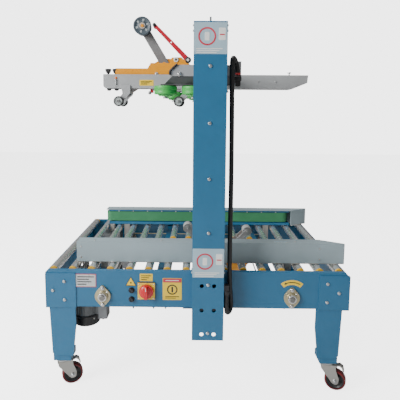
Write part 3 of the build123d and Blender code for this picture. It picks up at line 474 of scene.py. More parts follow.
SCREW_X, SCREW_Z = 0.351, 0.378
PANEL_Y = 0.385
bright_steel = finish("bright_steel", (0.62, 0.62, 0.62), 0.26, metallic=0.95, edge=0.85,
    Grain_Scale=1200.0, Grain=0.12, Mottle=0.08)
zinc_coat = ((0.47, 0.42, 0.27), 0.38, 0.75)
block_dark = ((0.020, 0.021, 0.024), 0.5, 0.2)
dress("bearings_and_chains", zoned("bearings_and_blocks", zinc_coat, [(block_dark, (-0.03, 0.3875, 0),
    (0.11, 0.4425, FAR))], grain=0.35, grain_scale=500.0, edge_radius=0.002, mottle=0.14))
shape = bmesh.new()
for side in (-1, 1):
    for end in (-1, 1):
        face_y = side * (PANEL_Y + 0.007)
        for step in (-1, 1):
            ear = (end * SCREW_X, face_y, SCREW_Z + step * 0.0312)
            turn_on(shape, [(0, 0), (7.8, 0), (7.8, 1), (0, 1)], ear, (0, side, 0), 28)
            prism_on(shape, polygon(6, 0.0062, 0.2), (ear[0], face_y + side * 0.001, ear[2]), LENGTHWAYS,
                (0, side, 0), 0.0042, 0.0005)
            turn_on(shape, [(3.2, 0), (3.2, 7.2), (2.4, 8), (0, 8)], ear, (0, side, 0), 20)
        hub = (end * SCREW_X, side * (PANEL_Y + 0.0142), SCREW_Z)
        turn_on(shape, [(10.2, 0), (15, 0), (15.8, 0.8), (15.8, 4.6), (15, 5.4), (11.2, 5.4),
            (10.2, 4.6), (10.2, 0)], hub, (0, side, 0), 48)
        nipple = (end * SCREW_X + 0.0145, side * (PANEL_Y + 0.006), SCREW_Z + 0.0145)
        turn_on(shape, [(2.6, 0), (2.6, 4), (1.6, 4.6), (2.2, 6.4), (1, 8.6), (0, 8.6)], nipple,
            (0.7, side * 0.35, 0.7), 20)
make(shape, "bearing_rings_and_nuts", "frame", [bright_steel])


# Lift and width screws: rolled trapezoidal threads on ground bars, lightly oiled.
def threaded(name, color, axis, pitch):
    """A steel finish whose bump is a helical thread about the given axis, with painted shade that darkens
    the colour in the thread's roots.
    """
    material, tree, principled = shader(name, color, 0.3, 0.95)
    link = tree.links.new
    place = object_place(tree)
    wave = node(tree, "TexWave", wave_type="BANDS", bands_direction=axis,
                wave_profile="TRI", Vector=place, Scale=0.314 / pitch, Distortion=0.0)
    oil = node(tree, "TexNoise", Vector=place, Scale=30.0, Detail=3.0)
    link(ramp(tree, oil.outputs["Fac"], (0, 1), (0.2, 0.45)), principled.inputs["Roughness"])
    # painted shade: the colour falls to a third of its value in the roots of the thread, where the bump
    # is lowest
    dark = node(tree, "Mix", data_type="RGBA", Factor=wave.outputs["Fac"],
                A=(*[value * 0.35 for value in color], 1), B=(*color, 1))
    link(dark.outputs["Result"], principled.inputs["Base Color"])
    bump = node(tree, "Bump", Strength=0.9, Distance=0.001, Height=wave.outputs["Fac"])
    link(bump.outputs["Normal"], principled.inputs["Normal"])
    return material


lift_thread = threaded("lift_screw_thread", (0.50, 0.49, 0.47), "Z", 0.004)
width_thread = threaded("width_screw_thread", (0.52, 0.51, 0.48), "Y", 0.004)
for name in ("front_lift_screw", "rear_lift_screw"):
    dress(name, lift_thread)
for name in ("outfeed_width_screw", "infeed_width_screw"):
    dress(name, width_thread)

# Power switch: a yellow moulded plate with a red rotary knob, its rim ribbed for grip and a bar
# handle across it. Its body, the junction box and the cable entry are black mouldings.
SWITCH_X, SWITCH_Z = -0.188, 0.400
switch_yellow = finish("switch_yellow", (0.86, 0.55, 0.03), 0.34, coat=0.2, edge=(0.95, 0.75, 0.25),
    Grain_Scale=700.0, Grain=0.08, Edge_Radius=0.0012, Edge_Wear=0.3)
switch_red = finish("switch_red", (0.58, 0.008, 0.012), 0.3, coat=0.35, edge=(0.80, 0.12, 0.10),
    Grain_Scale=700.0, Grain=0.08, Edge_Radius=0.0012, Edge_Wear=0.3)
black_moulding = finish("black_moulding", (0.014, 0.014, 0.016), 0.45, edge=0.07,
    Grain_Scale=800.0, Grain=0.3, Edge_Radius=0.001, Edge_Wear=0.4)


dress("switch_and_junction_box", black_moulding)
front = (0, -1, 0)
shape = bmesh.new()
face = (SWITCH_X, -0.3915, SWITCH_Z)
RIBS = 30
rib_wheel = []
for k in range(RIBS * 4):
    radius = 0.0268 if (k % 4) in (0, 1) else 0.0252
    rib_wheel.append((radius * cos(2 * pi * k / (RIBS * 4)), radius * sin(2 * pi * k / (RIBS * 4))))
prism_on(shape, rib_wheel, face, LENGTHWAYS, front, 0.0095, 0.0012)
turn_on(shape, [(22.5, 9.5), (21.5, 11.2), (15, 12.2), (0, 12.2)], face, front, 48)
bar = [(-0.0058, -0.0235), (0.0058, -0.0235), (0.0068, -0.010), (0.0068, 0.012), (0.0045, 0.0235),
    (-0.0045, 0.0235), (-0.0068, 0.012), (-0.0068, -0.010)]
prism_on(shape, bar, (SWITCH_X, -0.3915 - 0.0118, SWITCH_Z), LENGTHWAYS, front, 0.0125, 0.0018)
prism_on(shape, [(-0.0012, 0.008), (0.0012, 0.008), (0.0012, 0.021), (-0.0012, 0.021)],
    (SWITCH_X, -0.3915 - 0.0243, SWITCH_Z), LENGTHWAYS, front, 0.0003, slot=1)
white_mark = finish("white_mark", (0.85, 0.85, 0.83), 0.5)
knob = make(shape, "switch_knob_moulding", "switch_knob", [switch_red, white_mark])
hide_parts("switch_knob")
shape = bmesh.new()
box_on(shape, (SWITCH_X - 0.032, -0.3922, SWITCH_Z - 0.032),
    (SWITCH_X + 0.032, -0.3905, SWITCH_Z + 0.032), 0.0008)
for k in range(12):
    turn = 2 * pi * k / 12
    spot = (SWITCH_X + 0.0292 * cos(turn), -0.3922, SWITCH_Z + 0.0292 * sin(turn))
    turn_on(shape, [(0.9, 0), (0.9, 0.3), (0, 0.3)], spot, front, 10, slot=1)
for sx in (-1, 1):
    for sz in (-1, 1):
        turn_on(shape, [(2.8, 0), (2.8, 0.6), (1.8, 1.2), (0, 1.2)], (SWITCH_X + sx * 0.0272, -0.3922,
            SWITCH_Z + sz * 0.0272), front, 20, slot=2)
make(shape, "switch_scale_plate", "frame",
    [switch_yellow, black_moulding, bright_steel])

# Start and stop buttons: black moulded caps in raised collars, each with a shallow dish.
BUTTON_X = -0.244
for name, z in (("start_button", 0.401), ("stop_button", 0.366)):
    shape = bmesh.new()
    turn_on(shape, [(0, 1.5), (3.5, 1.8), (5.8, 3.2), (6.8, 3.4), (7.7, 2.6), (8, 1.4), (8, -2.2),
        (0, -2.2)], (BUTTON_X, -0.3930, z), front, 40)
    button = make(shape, name + "_cap", name, [black_moulding])
    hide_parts(name)
shape = bmesh.new()
for z in (0.401, 0.366):
    turn_on(shape, [(8.6, 0), (10.8, 0), (11.2, -0.8), (11.2, -3), (8.6, -3)], (BUTTON_X, -0.3883, z),
        front, 40)
    turn_on(shape, [(8.6, 0), (8.6, 0.9), (9.8, 1.2), (10.8, 0)], (BUTTON_X, -0.3883, z), front, 40)
for x in (-0.050, 0.036):
    for z in (0.327, 0.363):
        turn_on(shape, [(3, 0), (3, 1), (2, 1.6), (0, 1.6)], (x, -0.3670, z), front, 16)
make(shape, "button_collars", "frame", [black_moulding])

# Side belt units: blue folded channels that hold the pulleys, under a pale grey guard that is
# bent in at the infeed, and zinc-plated nuts that ride on the two width screws.
channel_blue = ((0.017, 0.130, 0.255), 0.40, 0.0)
pale_grey = ((0.30, 0.38, 0.41), 0.36, 0.0)
dull_zinc = ((0.48, 0.46, 0.42), 0.36, 0.85)
guard_zones = [(pale_grey, low, (FAR, FAR, FAR))
               for low in ((-FAR, 0.3062, 0), (-FAR, 0, 0.5577), (0.4765, 0, 0))]
guard_zones.append((dull_zinc, (-FAR, 0, 0), (FAR, FAR, 0.4838)))
guard_finish = zoned("guard_and_channels", channel_blue, guard_zones, grain=0.18, grain_scale=450.0,
    edge_radius=0.0016)
BELT_SPACING = 0.073
for side_name, side in (("front", -1), ("rear", 1)):
    body = side_name + "_belt_unit"
    dress(side_name + "_belt_housing", guard_finish)
    shape = bmesh.new()
    # a rubber wiper above the working strand, with its pins, and the screws of the guard
    box_on(shape, (-0.430, min(side * 0.2512, side * 0.2535), 0.5493), (0.430,
        max(side * 0.2512, side * 0.2535), 0.5509), 0.0003)
    for k in range(12):
        x = -0.402 + BELT_SPACING * k
        turn_on(shape, [(3, 0), (3, 1), (2, 1.8), (0, 1.8)], (x, side * 0.2512, 0.5513), (0, -side, 0),
            16, slot=1)
    for x in (-0.40, -0.14, 0.12, 0.38):
        turn_on(shape, [(4.5, 0), (4.5, 1), (3.2, 2.2), (0, 2.4)], (x, side * 0.286, 0.5610), UP,
            24, slot=1)
        turn_on(shape, [(1.4, 2.2), (1.4, 2.45), (0, 2.45)], (x, side * 0.286, 0.5610), UP, 12)
    for x in (-0.452, 0.467):
        for z in (0.500, 0.542):
            turn_on(shape, [(4, 0), (4, 0.6), (2.8, 1.2), (0, 1.2)], (x + 0.003, side * 0.3100, z),
                (0, side, 0), 20, slot=1)
    make(shape, side_name + "_guard_fittings", body, [black_moulding, bright_zinc])

# Side belts: green rubber over a woven carcass, with a fine ribbed face that grips the carton and a
# green that varies patchily with scuffing.
belt_rubber, tree, principled = shader("green_belt", (0.030, 0.190, 0.075), 0.55)
place = object_place(tree)
ribs = node(tree, "TexWave", wave_type="BANDS", bands_direction="Z", Vector=place,
            Scale=110.0, Distortion=0.6)
scuff = node(tree, "TexNoise", Vector=place, Scale=26.0, Detail=6.0, Roughness=0.65)
green = node(tree, "Mix", data_type="RGBA", Factor=scuff.outputs["Fac"],
             A=(0.022, 0.150, 0.058, 1), B=(0.048, 0.250, 0.110, 1))
rough = ramp(tree, scuff.outputs["Fac"], (0, 1), (0.42, 0.70))
bump = node(tree, "Bump", Strength=0.25, Distance=0.0004, Height=ribs.outputs["Fac"])
for source, label in ((green.outputs["Result"], "Base Color"), (rough, "Roughness"),
                      (bump.outputs["Normal"], "Normal")):
    tree.links.new(source, principled.inputs[label])
for name in ("front_side_belt", "rear_side_belt"):
    dress(name, belt_rubber)

# Gearmotors: a finned grey casting with a black pressed fan cowl under it and a pale terminal box
# on its side, closed by four screws, with a cable gland beneath.
MOTOR_X, MOTOR_Y = -0.440, 0.276
cast_grey = ((0.16, 0.17, 0.175), 0.48, 0.3)
cowl_black = ((0.012, 0.012, 0.013), 0.40, 0.0)
box_grey = ((0.30, 0.31, 0.32), 0.42, 0.1)
motor_finish = zoned("motor_castings", cast_grey, [(cowl_black, (-FAR, 0, 0.20), (FAR, FAR, 0.2642)),
    (box_grey, (-0.3885, 0, 0.20), (-0.35, FAR, 0.345)), (dull_zinc, (-FAR, 0, 0.4382),
    (FAR, FAR, FAR))], grain=0.3, grain_scale=600.0, mottle=0.12)
cowl_plastic = finish("cowl_black", (0.012, 0.012, 0.013), 0.40, edge=0.06,
    Grain_Scale=600.0, Grain=0.3)
terminal_grey = finish("terminal_box_grey", (0.30, 0.31, 0.32), 0.42, Grain=0.2)
for side_name, side in (("front", -1), ("rear", 1)):
    dress(side_name + "_belt_motor", motor_finish)
    axis_y = side * MOTOR_Y
    shape = bmesh.new()
    for radius in (12, 21, 30, 38):
        turn_on(shape, [(radius - 1.6, 0), (radius - 1.2, -1.2), (radius + 1.2, -1.2),
            (radius + 1.6, 0)], (MOTOR_X, axis_y, 0.2222), UP, 40)
    turn_on(shape, [(52.2, 0), (52.8, 0.8), (52.8, 3.2), (52.2, 4)], (MOTOR_X, axis_y, 0.2585),
        UP, 56)
    for k in range(4):
        turn = pi / 4 + k * pi / 2
        out = (cos(turn), sin(turn), 0)
        spot = (MOTOR_X + 0.0518 * out[0], axis_y + 0.0518 * out[1], 0.2520)
        turn_on(shape, [(3.4, 0), (3.4, 0.8), (2.2, 1.8), (0, 1.8)], spot, out, 20, slot=1)
    box_on(shape, (-0.3562, axis_y - 0.0245, 0.2465), (-0.3535, axis_y + 0.0245, 0.3385), 0.0008,
        slot=2)
    for dy in (-0.019, 0.019):
        for z in (0.2525, 0.3325):
            turn_on(shape, [(2.4, 0), (2.4, 0.6), (1.6, 1.4), (0, 1.4)], (-0.3535, axis_y + dy, z),
                LENGTHWAYS, 18, slot=1)
    gland = (-0.376, axis_y, 0.2450)
    prism_on(shape, polygon(6, 0.0085), gland, LENGTHWAYS, DOWN, 0.0045, 0.0006)
    turn_on(shape, [(6.8, 4.5), (6.8, 9.5), (5, 12.5), (3.2, 12.8), (0, 12.8)], gland, DOWN, 28)
    for k in range(3):
        turn_on(shape, [(44.5, 0), (45.2, 0.8), (45.2, 2), (44.5, 2.8)],
            (MOTOR_X, axis_y, 0.365 - k * 0.006), UP, 48, slot=2)
    make(shape, side_name + "_motor_fittings", side_name + "_belt_unit",
        [cowl_plastic, bright_zinc, terminal_grey])

# Casters: pressed zinc forks on a ball race, with a brake pedal, an axle bolt and its nut, and
# wheels with a dark red polyurethane tread bonded to a black ribbed core.
LEG_X = {-1: 0.507, 1: 0.495}
CASTER_OUT, CASTER_Y = 0.011, 0.345
WHEEL_R, WHEEL_TRAIL, WHEEL_HALF = 0.040, 0.032, 0.014
CASTER_TURN = {"front_outfeed": (-1, -1, 22.0), "front_infeed": (1, -1, -20.0),
    "rear_infeed": (1, 1, 202.0), "rear_outfeed": (-1, 1, 134.4)}
plated_zinc = finish("plated_zinc", (0.42, 0.41, 0.38), 0.34, metallic=0.85, edge=(0.75, 0.75, 0.72),
    Grain_Scale=700.0, Grain=0.2, Mottle=0.14, Edge_Wear=0.6)
red_tread = finish("red_tread", (0.150, 0.010, 0.012), 0.42, edge=(0.30, 0.06, 0.05), Grain_Scale=500.0,
    Grain=0.25, Mottle=0.16)
black_core = finish("black_core", (0.016, 0.016, 0.017), 0.42, edge=0.06,
    Grain_Scale=600.0, Grain=0.25)
for name, (sx, sy, turn) in CASTER_TURN.items():
    dress(name + "_caster_fork", plated_zinc)
    heading = Vector((cos(radians(turn)), sin(radians(turn)), 0))
    swivel = Vector((sx * (LEG_X[sx] + CASTER_OUT), sy * CASTER_Y, 0))
    across = Vector((heading.y, -heading.x, 0))
    hub = swivel + heading * WHEEL_TRAIL + Vector((0, 0, WHEEL_R))
    start = hub - across * WHEEL_HALF
    shape = bmesh.new()
    tread = [(32.8, 0.4), (34.5, 0), (37, 0.2), (39, 1.6), (39.9, 5), (WHEEL_R / MM, 10.5),
        (WHEEL_R / MM, 17.5), (39.9, 23), (39, 26.4), (37, 27.8), (34.5, 28), (32.8, 27.6)]
    turn_on(shape, tread, start, across, 64)
    core = [(5.2, 1), (10.5, 1), (11.5, 2), (12.2, 7), (26.5, 7.6), (29, 3), (32.8, 1.2), (32.8, 26.8),
        (29, 25), (26.5, 20.4), (12.2, 21), (11.5, 26), (10.5, 27), (5.2, 27)]
    turn_on(shape, core, start, across, 56, slot=1)
    for k in range(6):
        spoke = across.orthogonal().normalized()
        spoke.rotate(Matrix.Rotation(pi / 3 * k, 3, across))
        for face, out in ((0.0206, 1), (0.0074, -1)):
            prism_on(shape, [(0.0115, -0.0012), (0.0275, -0.0012), (0.0275, 0.0012), (0.0115, 0.0012)],
                start + across * face, spoke, across * out, 0.0030, 0.0004, slot=1)
    wheel = make(shape, name + "_wheel_moulding", name + "_caster_wheel",
        [red_tread, black_core])
    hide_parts(name + "_caster_wheel")
    shape = bmesh.new()
    turn_on(shape, [(25, 0), (26.8, 1.5), (27.2, 4), (26.8, 6.5), (25, 8)],
        swivel + Vector((0, 0, 0.1035)), UP, 48)
    turn_on(shape, [(26.2, 0), (26.6, 0.7), (26.2, 1.4)], swivel + Vector((0, 0, 0.1155)), UP,
        48)
    for out in (-1, 1):
        face = hub + across * (WHEEL_HALF + 0.0062) * out
        turn_on(shape, [(8.5, 0), (8.5, 1), (5.2, 1.2)], face, across * out, 28)
        prism_on(shape, polygon(6, 0.0072), face + across * 0.0010 * out, heading, across * out, 0.0042,
            0.0005)
        turn_on(shape, [(4.6, 0), (4.6, 6.8), (3.8, 7.6), (0, 7.6)], face, across * out, 24)
    make(shape, name + "_race_and_axle_bolt", name + "_caster_swivel", [bright_zinc])

# Head carriage: a grey painted weldment of two cantilever arms with bronze lift nuts, side covers
# whose inward-folded lower skirt carries a painted shade, and the open rail that the upper tape head
# stands in.
rail_grey = ((0.36, 0.37, 0.375), 0.40, 0.0)
# painted shade: the side covers' folded-in lower skirt is the same grey sheet, coloured far darker to
# stand in for the shade under the covers
skirt_painted_shade = ((0.085, 0.088, 0.090), 0.42, 0.0)
bronze = ((0.55, 0.36, 0.14), 0.35, 0.9)
pin_steel = ((0.60, 0.60, 0.60), 0.28, 0.95)
rubber_black = ((0.012, 0.012, 0.013), 0.45, 0.0)
# the first zone paints shade on the side covers' lower skirt
carriage_finish = zoned("head_carriage_paint", rail_grey, [(skirt_painted_shade, (-FAR, 0.250, 1.1555),
    (FAR, 0.3450, 1.1890)), (pin_steel, (-FAR, 0.280, 1.1050), (0.05, 0.306, 1.1578)), (pin_steel,
    (-FAR, 0.046, 1.090), (0.05, 0.080, 1.118)), (bronze, (-FAR, 0.3905, 1.10), (FAR, FAR, FAR)),
    (rubber_black, (0.1275, 0.3485, 1.10), (0.150, 0.3700, 1.1725)), (pin_steel, (0.385, 0, 1.2195),
    (0.405, 0.01, 1.30))], grain=0.15, grain_scale=450.0, edge_radius=0.0014)
dress("head_carriage", carriage_finish)
RAIL_FACE = 0.039
knob_black = finish("knob_black", (0.010, 0.010, 0.011), 0.40, edge=0.08,
    Grain_Scale=700.0, Grain=0.2)
trim_grey = finish("trim_grey", (0.36, 0.37, 0.375), 0.40, edge=0.6, Grain=0.15)
signal_red = finish("signal_red", (0.42, 0.010, 0.018), 0.35, coat=0.2, edge=(0.6, 0.15, 0.13),
    Grain=0.12)
signal_orange = finish("signal_orange", (0.75, 0.16, 0.02), 0.35, edge=(0.9, 0.4, 0.2), Grain=0.12)
shape = bmesh.new()
# cross bar at the outfeed end with its two clamping knobs
box_on(shape, (-0.4055, -0.0355, 1.2060), (-0.3420, 0.0355, 1.2195), 0.0012, slot=1)
for x in (-0.391, -0.360):
    turn_on(shape, [(4, 0), (4, 4), (7.5, 5), (8.2, 7.5), (12.8, 21.5), (13.2, 22.8), (12.2, 23.6),
        (4.5, 23.8), (0, 23.2)], (x, -0.021, 1.2190), UP, 40)
    for k in range(10):
        turn = 2 * pi * k / 10
        turn_on(shape, [(1.1, 0), (1.3, 11), (0, 11.5)], (x + 0.0092 * cos(turn),
            -0.021 + 0.0092 * sin(turn), 1.2290), (0.30 * cos(turn), 0.30 * sin(turn), 0.95), 8)
# rubber stops under the rail's end
for x in (-0.388, -0.355):
    turn_on(shape, [(0, 0), (10.5, 0), (10.5, -6), (8.5, -10.5), (4.5, -13), (0, -13.5)],
        (x, -0.0240, 1.1620), UP, 36)
    box_on(shape, (x - 0.012, -0.0358, 1.1600), (x + 0.012, -0.0120, 1.1640), 0.0008, slot=1)
# spring hook on the near side: an orange-headed screw, a short spring and a wire hook
turn_on(shape, [(5.2, 0), (5.2, 1.6), (3.8, 2.8), (0, 2.8)], (-0.3550, -RAIL_FACE, 1.2040), front, 28,
    slot=3)
# bolts through the rail and the covers
for x, z in ((-0.300, 1.1690), (-0.160, 1.1690), (0.255, 1.1890), (0.330, 1.1890)):
    for side in (-1, 1):
        turn_on(shape, [(4.8, 0), (4.8, 1.4), (3.4, 2.8), (0, 3)], (x, side * RAIL_FACE, z),
            (0, side, 0), 28, slot=2)
for side in (-1, 1):
    turn_on(shape, [(8.5, 0), (8.5, 1), (6.2, 1.2), (6.2, 4), (4.8, 5.2), (0, 5.4)],
        (-0.070, side * 0.348, 1.1950), (0, side, 0), 32, slot=2)
    for x in (-0.10, 0.03, 0.12):
        turn_on(shape, [(4.6, 0), (4.6, 1.2), (3.4, 2.4), (0, 2.6)], (x, side * 0.290, 1.1620),
            UP, 24, slot=2)
make(shape, "rail_knobs_and_bolts", "head", [knob_black, trim_grey, bright_zinc,
    signal_orange])
helix = [Vector((-0.3550 + 0.0032 * cos(turn), -RAIL_FACE - 0.0034 + 0.0032 * sin(turn),
    1.1990 - 0.00028 * k)) for k, turn in ((k, k * 0.62) for k in range(92))]
helix += [Vector((-0.3550, -RAIL_FACE - 0.0034, 1.1705)),
    Vector((-0.3565, -RAIL_FACE - 0.0034, 1.1665)), Vector((-0.3595, -RAIL_FACE - 0.0034, 1.1660)),
    Vector((-0.3605, -RAIL_FACE - 0.0034, 1.1690))]
add_piece("hook_spring", tube("hook_spring", helix, 0.0008, 8), "head", bright_zinc)
for side in (-1, 1):
    trim = [Vector((x, side * 0.3475, z)) for x, z in ((-0.1035, 1.1930), (-0.1035, 1.2055),
        (-0.1010, 1.2090), (-0.0800, 1.2285), (-0.0760, 1.2300))]
    name = ("front" if side < 0 else "rear") + "_cover_edge_rubber"
    add_piece(name, tube(name, trim, 0.0042, 14), "head", cable_rubber)

# Press wheels: soft green moulded tyres on a lighter hub, each on a pin under the side cover.
tyre_green = finish("press_wheel_green", (0.045, 0.420, 0.070), 0.46, edge=(0.25, 0.70, 0.28),
    Grain_Scale=300.0, Grain=0.2, Edge_Radius=0.002, Mottle=0.10)
hub_green = finish("press_hub_green", (0.140, 0.560, 0.170), 0.42, edge=(0.4, 0.8, 0.4), Grain=0.15)
PRESS_Y, PRESS_LOW = 0.292, 1.117
for name, x, side in (("front_outfeed", -0.123, -1), ("rear_outfeed", -0.123, 1),
                      ("front_infeed", -0.020, -1), ("rear_infeed", -0.020, 1)):
    shape = bmesh.new()
    turn_on(shape, [(24, 8), (40.5, 8.2), (42, 9.5), (42.5, 11), (42.5, 21), (41.6, 21.8), (41.6, 23.2),
        (42.5, 24), (42.5, 36.5), (41.8, 38), (40, 38.8), (34.5, 38.8), (33, 36.8), (24, 36.8)],
        (x, side * PRESS_Y, PRESS_LOW), UP, 72)
    turn_on(shape, [(6.2, 0), (12.5, 0), (13.5, 1.2), (14, 3.5), (23.5, 4), (25.2, 2), (26, 3), (26, 8),
        (24, 8.2), (24, 36.6), (15, 36.6), (13.5, 38.8), (6.2, 38.8)], (x, side * PRESS_Y, PRESS_LOW),
        UP, 56, slot=1)
    wheel = make(shape, name + "_press_wheel_tyre", name + "_press_wheel",
        [tyre_green, hub_green])
    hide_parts(name + "_press_wheel")

# Hold-down wheels: small casters with black rubber tyres on pale moulded centres.
tyre_black = finish("small_tyre_black", (0.014, 0.014, 0.015), 0.5, edge=0.07,
    Grain_Scale=700.0, Grain=0.3)
pale_centre = finish("pale_centre", (0.42, 0.46, 0.45), 0.42, edge=(0.7, 0.72, 0.7), Grain=0.15)
for name, x in (("outfeed", -0.341), ("infeed", -0.084)):
    shape = bmesh.new()
    for side in (-1, 1):
        start = (x, side * 0.049, 1.104)
        turn_on(shape, [(16, 0.6), (18.5, 0), (20.5, 1.2), (21.7, 4.5), (22, 8), (22, 10), (21.7, 13.5),
            (20.5, 16.8), (18.5, 18), (16, 17.4)], start, (0, side, 0), 52)
        turn_on(shape, [(4.2, 0.8), (6.5, 0.8), (7.2, 4), (13, 4.2), (14.5, 1.2), (16, 1), (16, 17),
            (14.5, 16.8), (13, 13.8), (7.2, 14), (6.5, 17.2), (4.2, 17.2)], start, (0, side, 0), 48,
            slot=1)
    wheels = make(shape, name + "_small_casters", name + "_hold_down_wheels",
        [tyre_black, pale_centre])
    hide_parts(name + "_hold_down_wheels")

# Tape heads: orange side plates tied by steel bars, a grey arm for the tape drum, two swinging
# arms with knurled steel rollers, and a guide roller. The same cartridge stands on its head below.
orange_paint = ((0.78, 0.30, 0.001), 0.36, 0.0)
arm_grey = ((0.21, 0.21, 0.21), 0.42, 0.2)
plates_finish = zoned("tape_head_plates", ((0.55, 0.55, 0.55), 0.30, 0.9), [(orange_paint,
    (-FAR, 0.0289, 0), (FAR, 0.0322, FAR)), (arm_grey, (-FAR, 0.0249, 1.2500), (FAR, 0.0289, FAR)),
    (arm_grey, (-FAR, 0.0249, 0.0), (FAR, 0.0289, 0.3900))], grain=0.15, grain_scale=450.0,
    edge_radius=0.0012)
arm_steel = finish("ground_arm_steel", (0.42, 0.42, 0.42), 0.34, metallic=0.85, edge=0.8,
    Grain_Scale=900.0, Grain=0.25, Mottle=0.12)
roller_rubber = finish("roller_rubber", (0.40, 0.41, 0.40), 0.5, edge=0.6,
    Grain_Scale=900.0, Grain=0.4, Mottle=0.12)
drum_slate = finish("drum_slate", (0.060, 0.082, 0.100), 0.42, edge=(0.25, 0.30, 0.33),
    Grain_Scale=700.0, Grain=0.15)
drum_notch = finish("drum_notch_grey", (0.33, 0.37, 0.38), 0.42, edge=0.6, Grain=0.12)
hub_beige = finish("hub_beige", (0.50, 0.42, 0.34), 0.45, edge=(0.7, 0.62, 0.55), Grain=0.15)
white_roller = finish("white_roller", (0.68, 0.68, 0.66), 0.35, coat=0.2, edge=0.85,
    Grain=0.1)
HEADS = {"upper": ("head", -0.310, 1.159, 1, -0.009), "lower": ("frame", -0.044, 0.481, -1, -0.052)}
for name, (body, origin_x, plane_z, way, roller_height) in HEADS.items():
    near = -way                      # the near plate is on this side of the middle


    def spot(x, height, y):
        """A point of this head: distance along, height away from the carton, and offset."""
        return Vector((origin_x + x, near * y, plane_z + way * height))


    outward = Vector((0, near, 0))
    dress(name + "_head_plates", plates_finish)
    dress(name + "_front_arm", arm_steel)
    dress(name + "_rear_arm", arm_steel)
    shape = bmesh.new()
    # nuts and washers of the tie rods and the arm pivots, on both plates
    for x, height in ((130, 62), (185, 36), (75, 36)):
        for out in (-1, 1):
            face = spot(x / 1000, height / 1000, 0.032 * out)
            turn_on(shape, [(8.2, 0), (8.2, 0.9), (5, 1)], face, outward * out, 28)
            prism_on(shape, polygon(6, 0.0062, 0.3), face + outward * 0.0009 * out, LENGTHWAYS,
                outward * out, 0.0024, 0.0004)
    # guide roller with a dark hub, and the drum spindle's wing nut
    face = spot(0.213, 0.123, 0.0322)
    turn_on(shape, [(4, 0), (8.8, 0), (10.5, 1), (10.5, 3), (8.8, 3.8), (5, 3.8), (4, 3)], face,
        outward, 40, slot=1)
    turn_on(shape, [(4.6, 0), (4.6, 4), (3, 4.8), (0, 4.8)], face, outward, 28, slot=2)
    make(shape, name + "_head_nuts_and_guide", body,
        [bright_zinc, white_roller, knob_black])
    # rubber sleeves on the two arm rollers
    for arm, x, height in (("front", 0.268, roller_height + 0.006), ("rear", 0.0, roller_height - 0.007)):
        shape = bmesh.new()
        middle = spot(x, height, 0)
        turn_on(shape, [(19.6, -23.4), (20.3, -22.8), (20.4, -12), (20.6, 0), (20.4, 12), (20.3, 22.8),
            (19.6, 23.4)], middle, outward, 56)
        for out in (-1, 1):
            turn_on(shape, [(6, 23.6), (8.5, 23.6), (18, 23.2), (19.6, 23.4)], middle, outward * out,
                48)
            prism_on(shape, polygon(6, 0.0058), middle + outward * 0.0271 * out, LENGTHWAYS,
                outward * out, 0.0016, 0.0004, slot=1)
        make(shape, f"{name}_{arm}_roller_sleeve", f"{name}_{arm}_arm",
            [roller_rubber, bright_zinc])
    # tape drum: slate flange with six pale notches, a grooved barrel and a beige brake hub
    shape = bmesh.new()
    centre = spot(0.068, 0.265, 0)
    turn_on(shape, [(6.5, -23.8), (34, -23.8), (35.8, -22.5), (35.8, -10), (35, -9), (35, 9),
        (35.8, 10), (35.8, 23.5), (38, 23.8), (38.8, 24.6), (38.8, 26.2), (38, 26.8), (31, 26.9),
        (30, 25.6), (17, 25.6), (16, 26.6), (11, 26.8), (10.5, 25.6), (6.5, 25.6)], centre, outward, 72)
    for k in range(6):
        turn = pi / 3 * k + 0.3
        prism_on(shape, [(0.0185, -0.0032), (0.0285, -0.0048), (0.0285, 0.0048), (0.0185, 0.0032)],
            centre + outward * 0.0250, (cos(turn), 0, sin(turn)), outward, 0.0014, 0.0004, slot=1)
    turn_on(shape, [(6.5, 25.8), (6.5, 26.8), (12.8, 26.9), (12.8, 25.8)], centre, outward, 40, slot=2)
    drum = make(shape, name + "_drum_moulding", name + "_tape_drum",
        [drum_slate, drum_notch, hub_beige])
    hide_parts(name + "_tape_drum")
    # cutter: a red guard on a spring arm, with its round spring seat and the serrated blade
    shape = bmesh.new()
    corner = spot(0.100, -0.018, 0.022)
    low = [min(corner[k], spot(0.114, 0.012, 0.006)[k]) for k in range(3)]
    high = [max(corner[k], spot(0.114, 0.012, 0.006)[k]) for k in range(3)]
    box_on(shape, low, high, 0.0016)
    turn_on(shape, [(0, 0), (6, 0), (7.5, 1), (7.5, 7), (6, 8), (0, 8)], spot(0.098, -0.0175, 0.0150),
        outward, 32, slot=1)
    teeth = [(0.128, -0.014), (0.150, -0.030)]
    blade = [(0.0, 0.0)]
    for k in range(12):
        blade += [(0.0020 * k, -0.0030), (0.0020 * k + 0.0010, -0.0005)]
    blade += [(0.024, 0.0), (0.024, 0.0065), (0.0, 0.0065)]
    ahead = (spot(*teeth[1], 0) - spot(*teeth[0], 0)).normalized()
    prism_on(shape, blade[1:], spot(*teeth[0], 0.020), ahead, -outward if way > 0 else outward, 0.0012,
        slot=1)
    prism_on(shape, [(0, -0.004), (0.026, -0.004), (0.026, 0.004), (0, 0.004)],
        spot(0.106, 0.004, 0.021), ahead, outward, 0.0022, 0.0004, slot=1)
    make(shape, name + "_cutter", body, [signal_red, arm_steel])

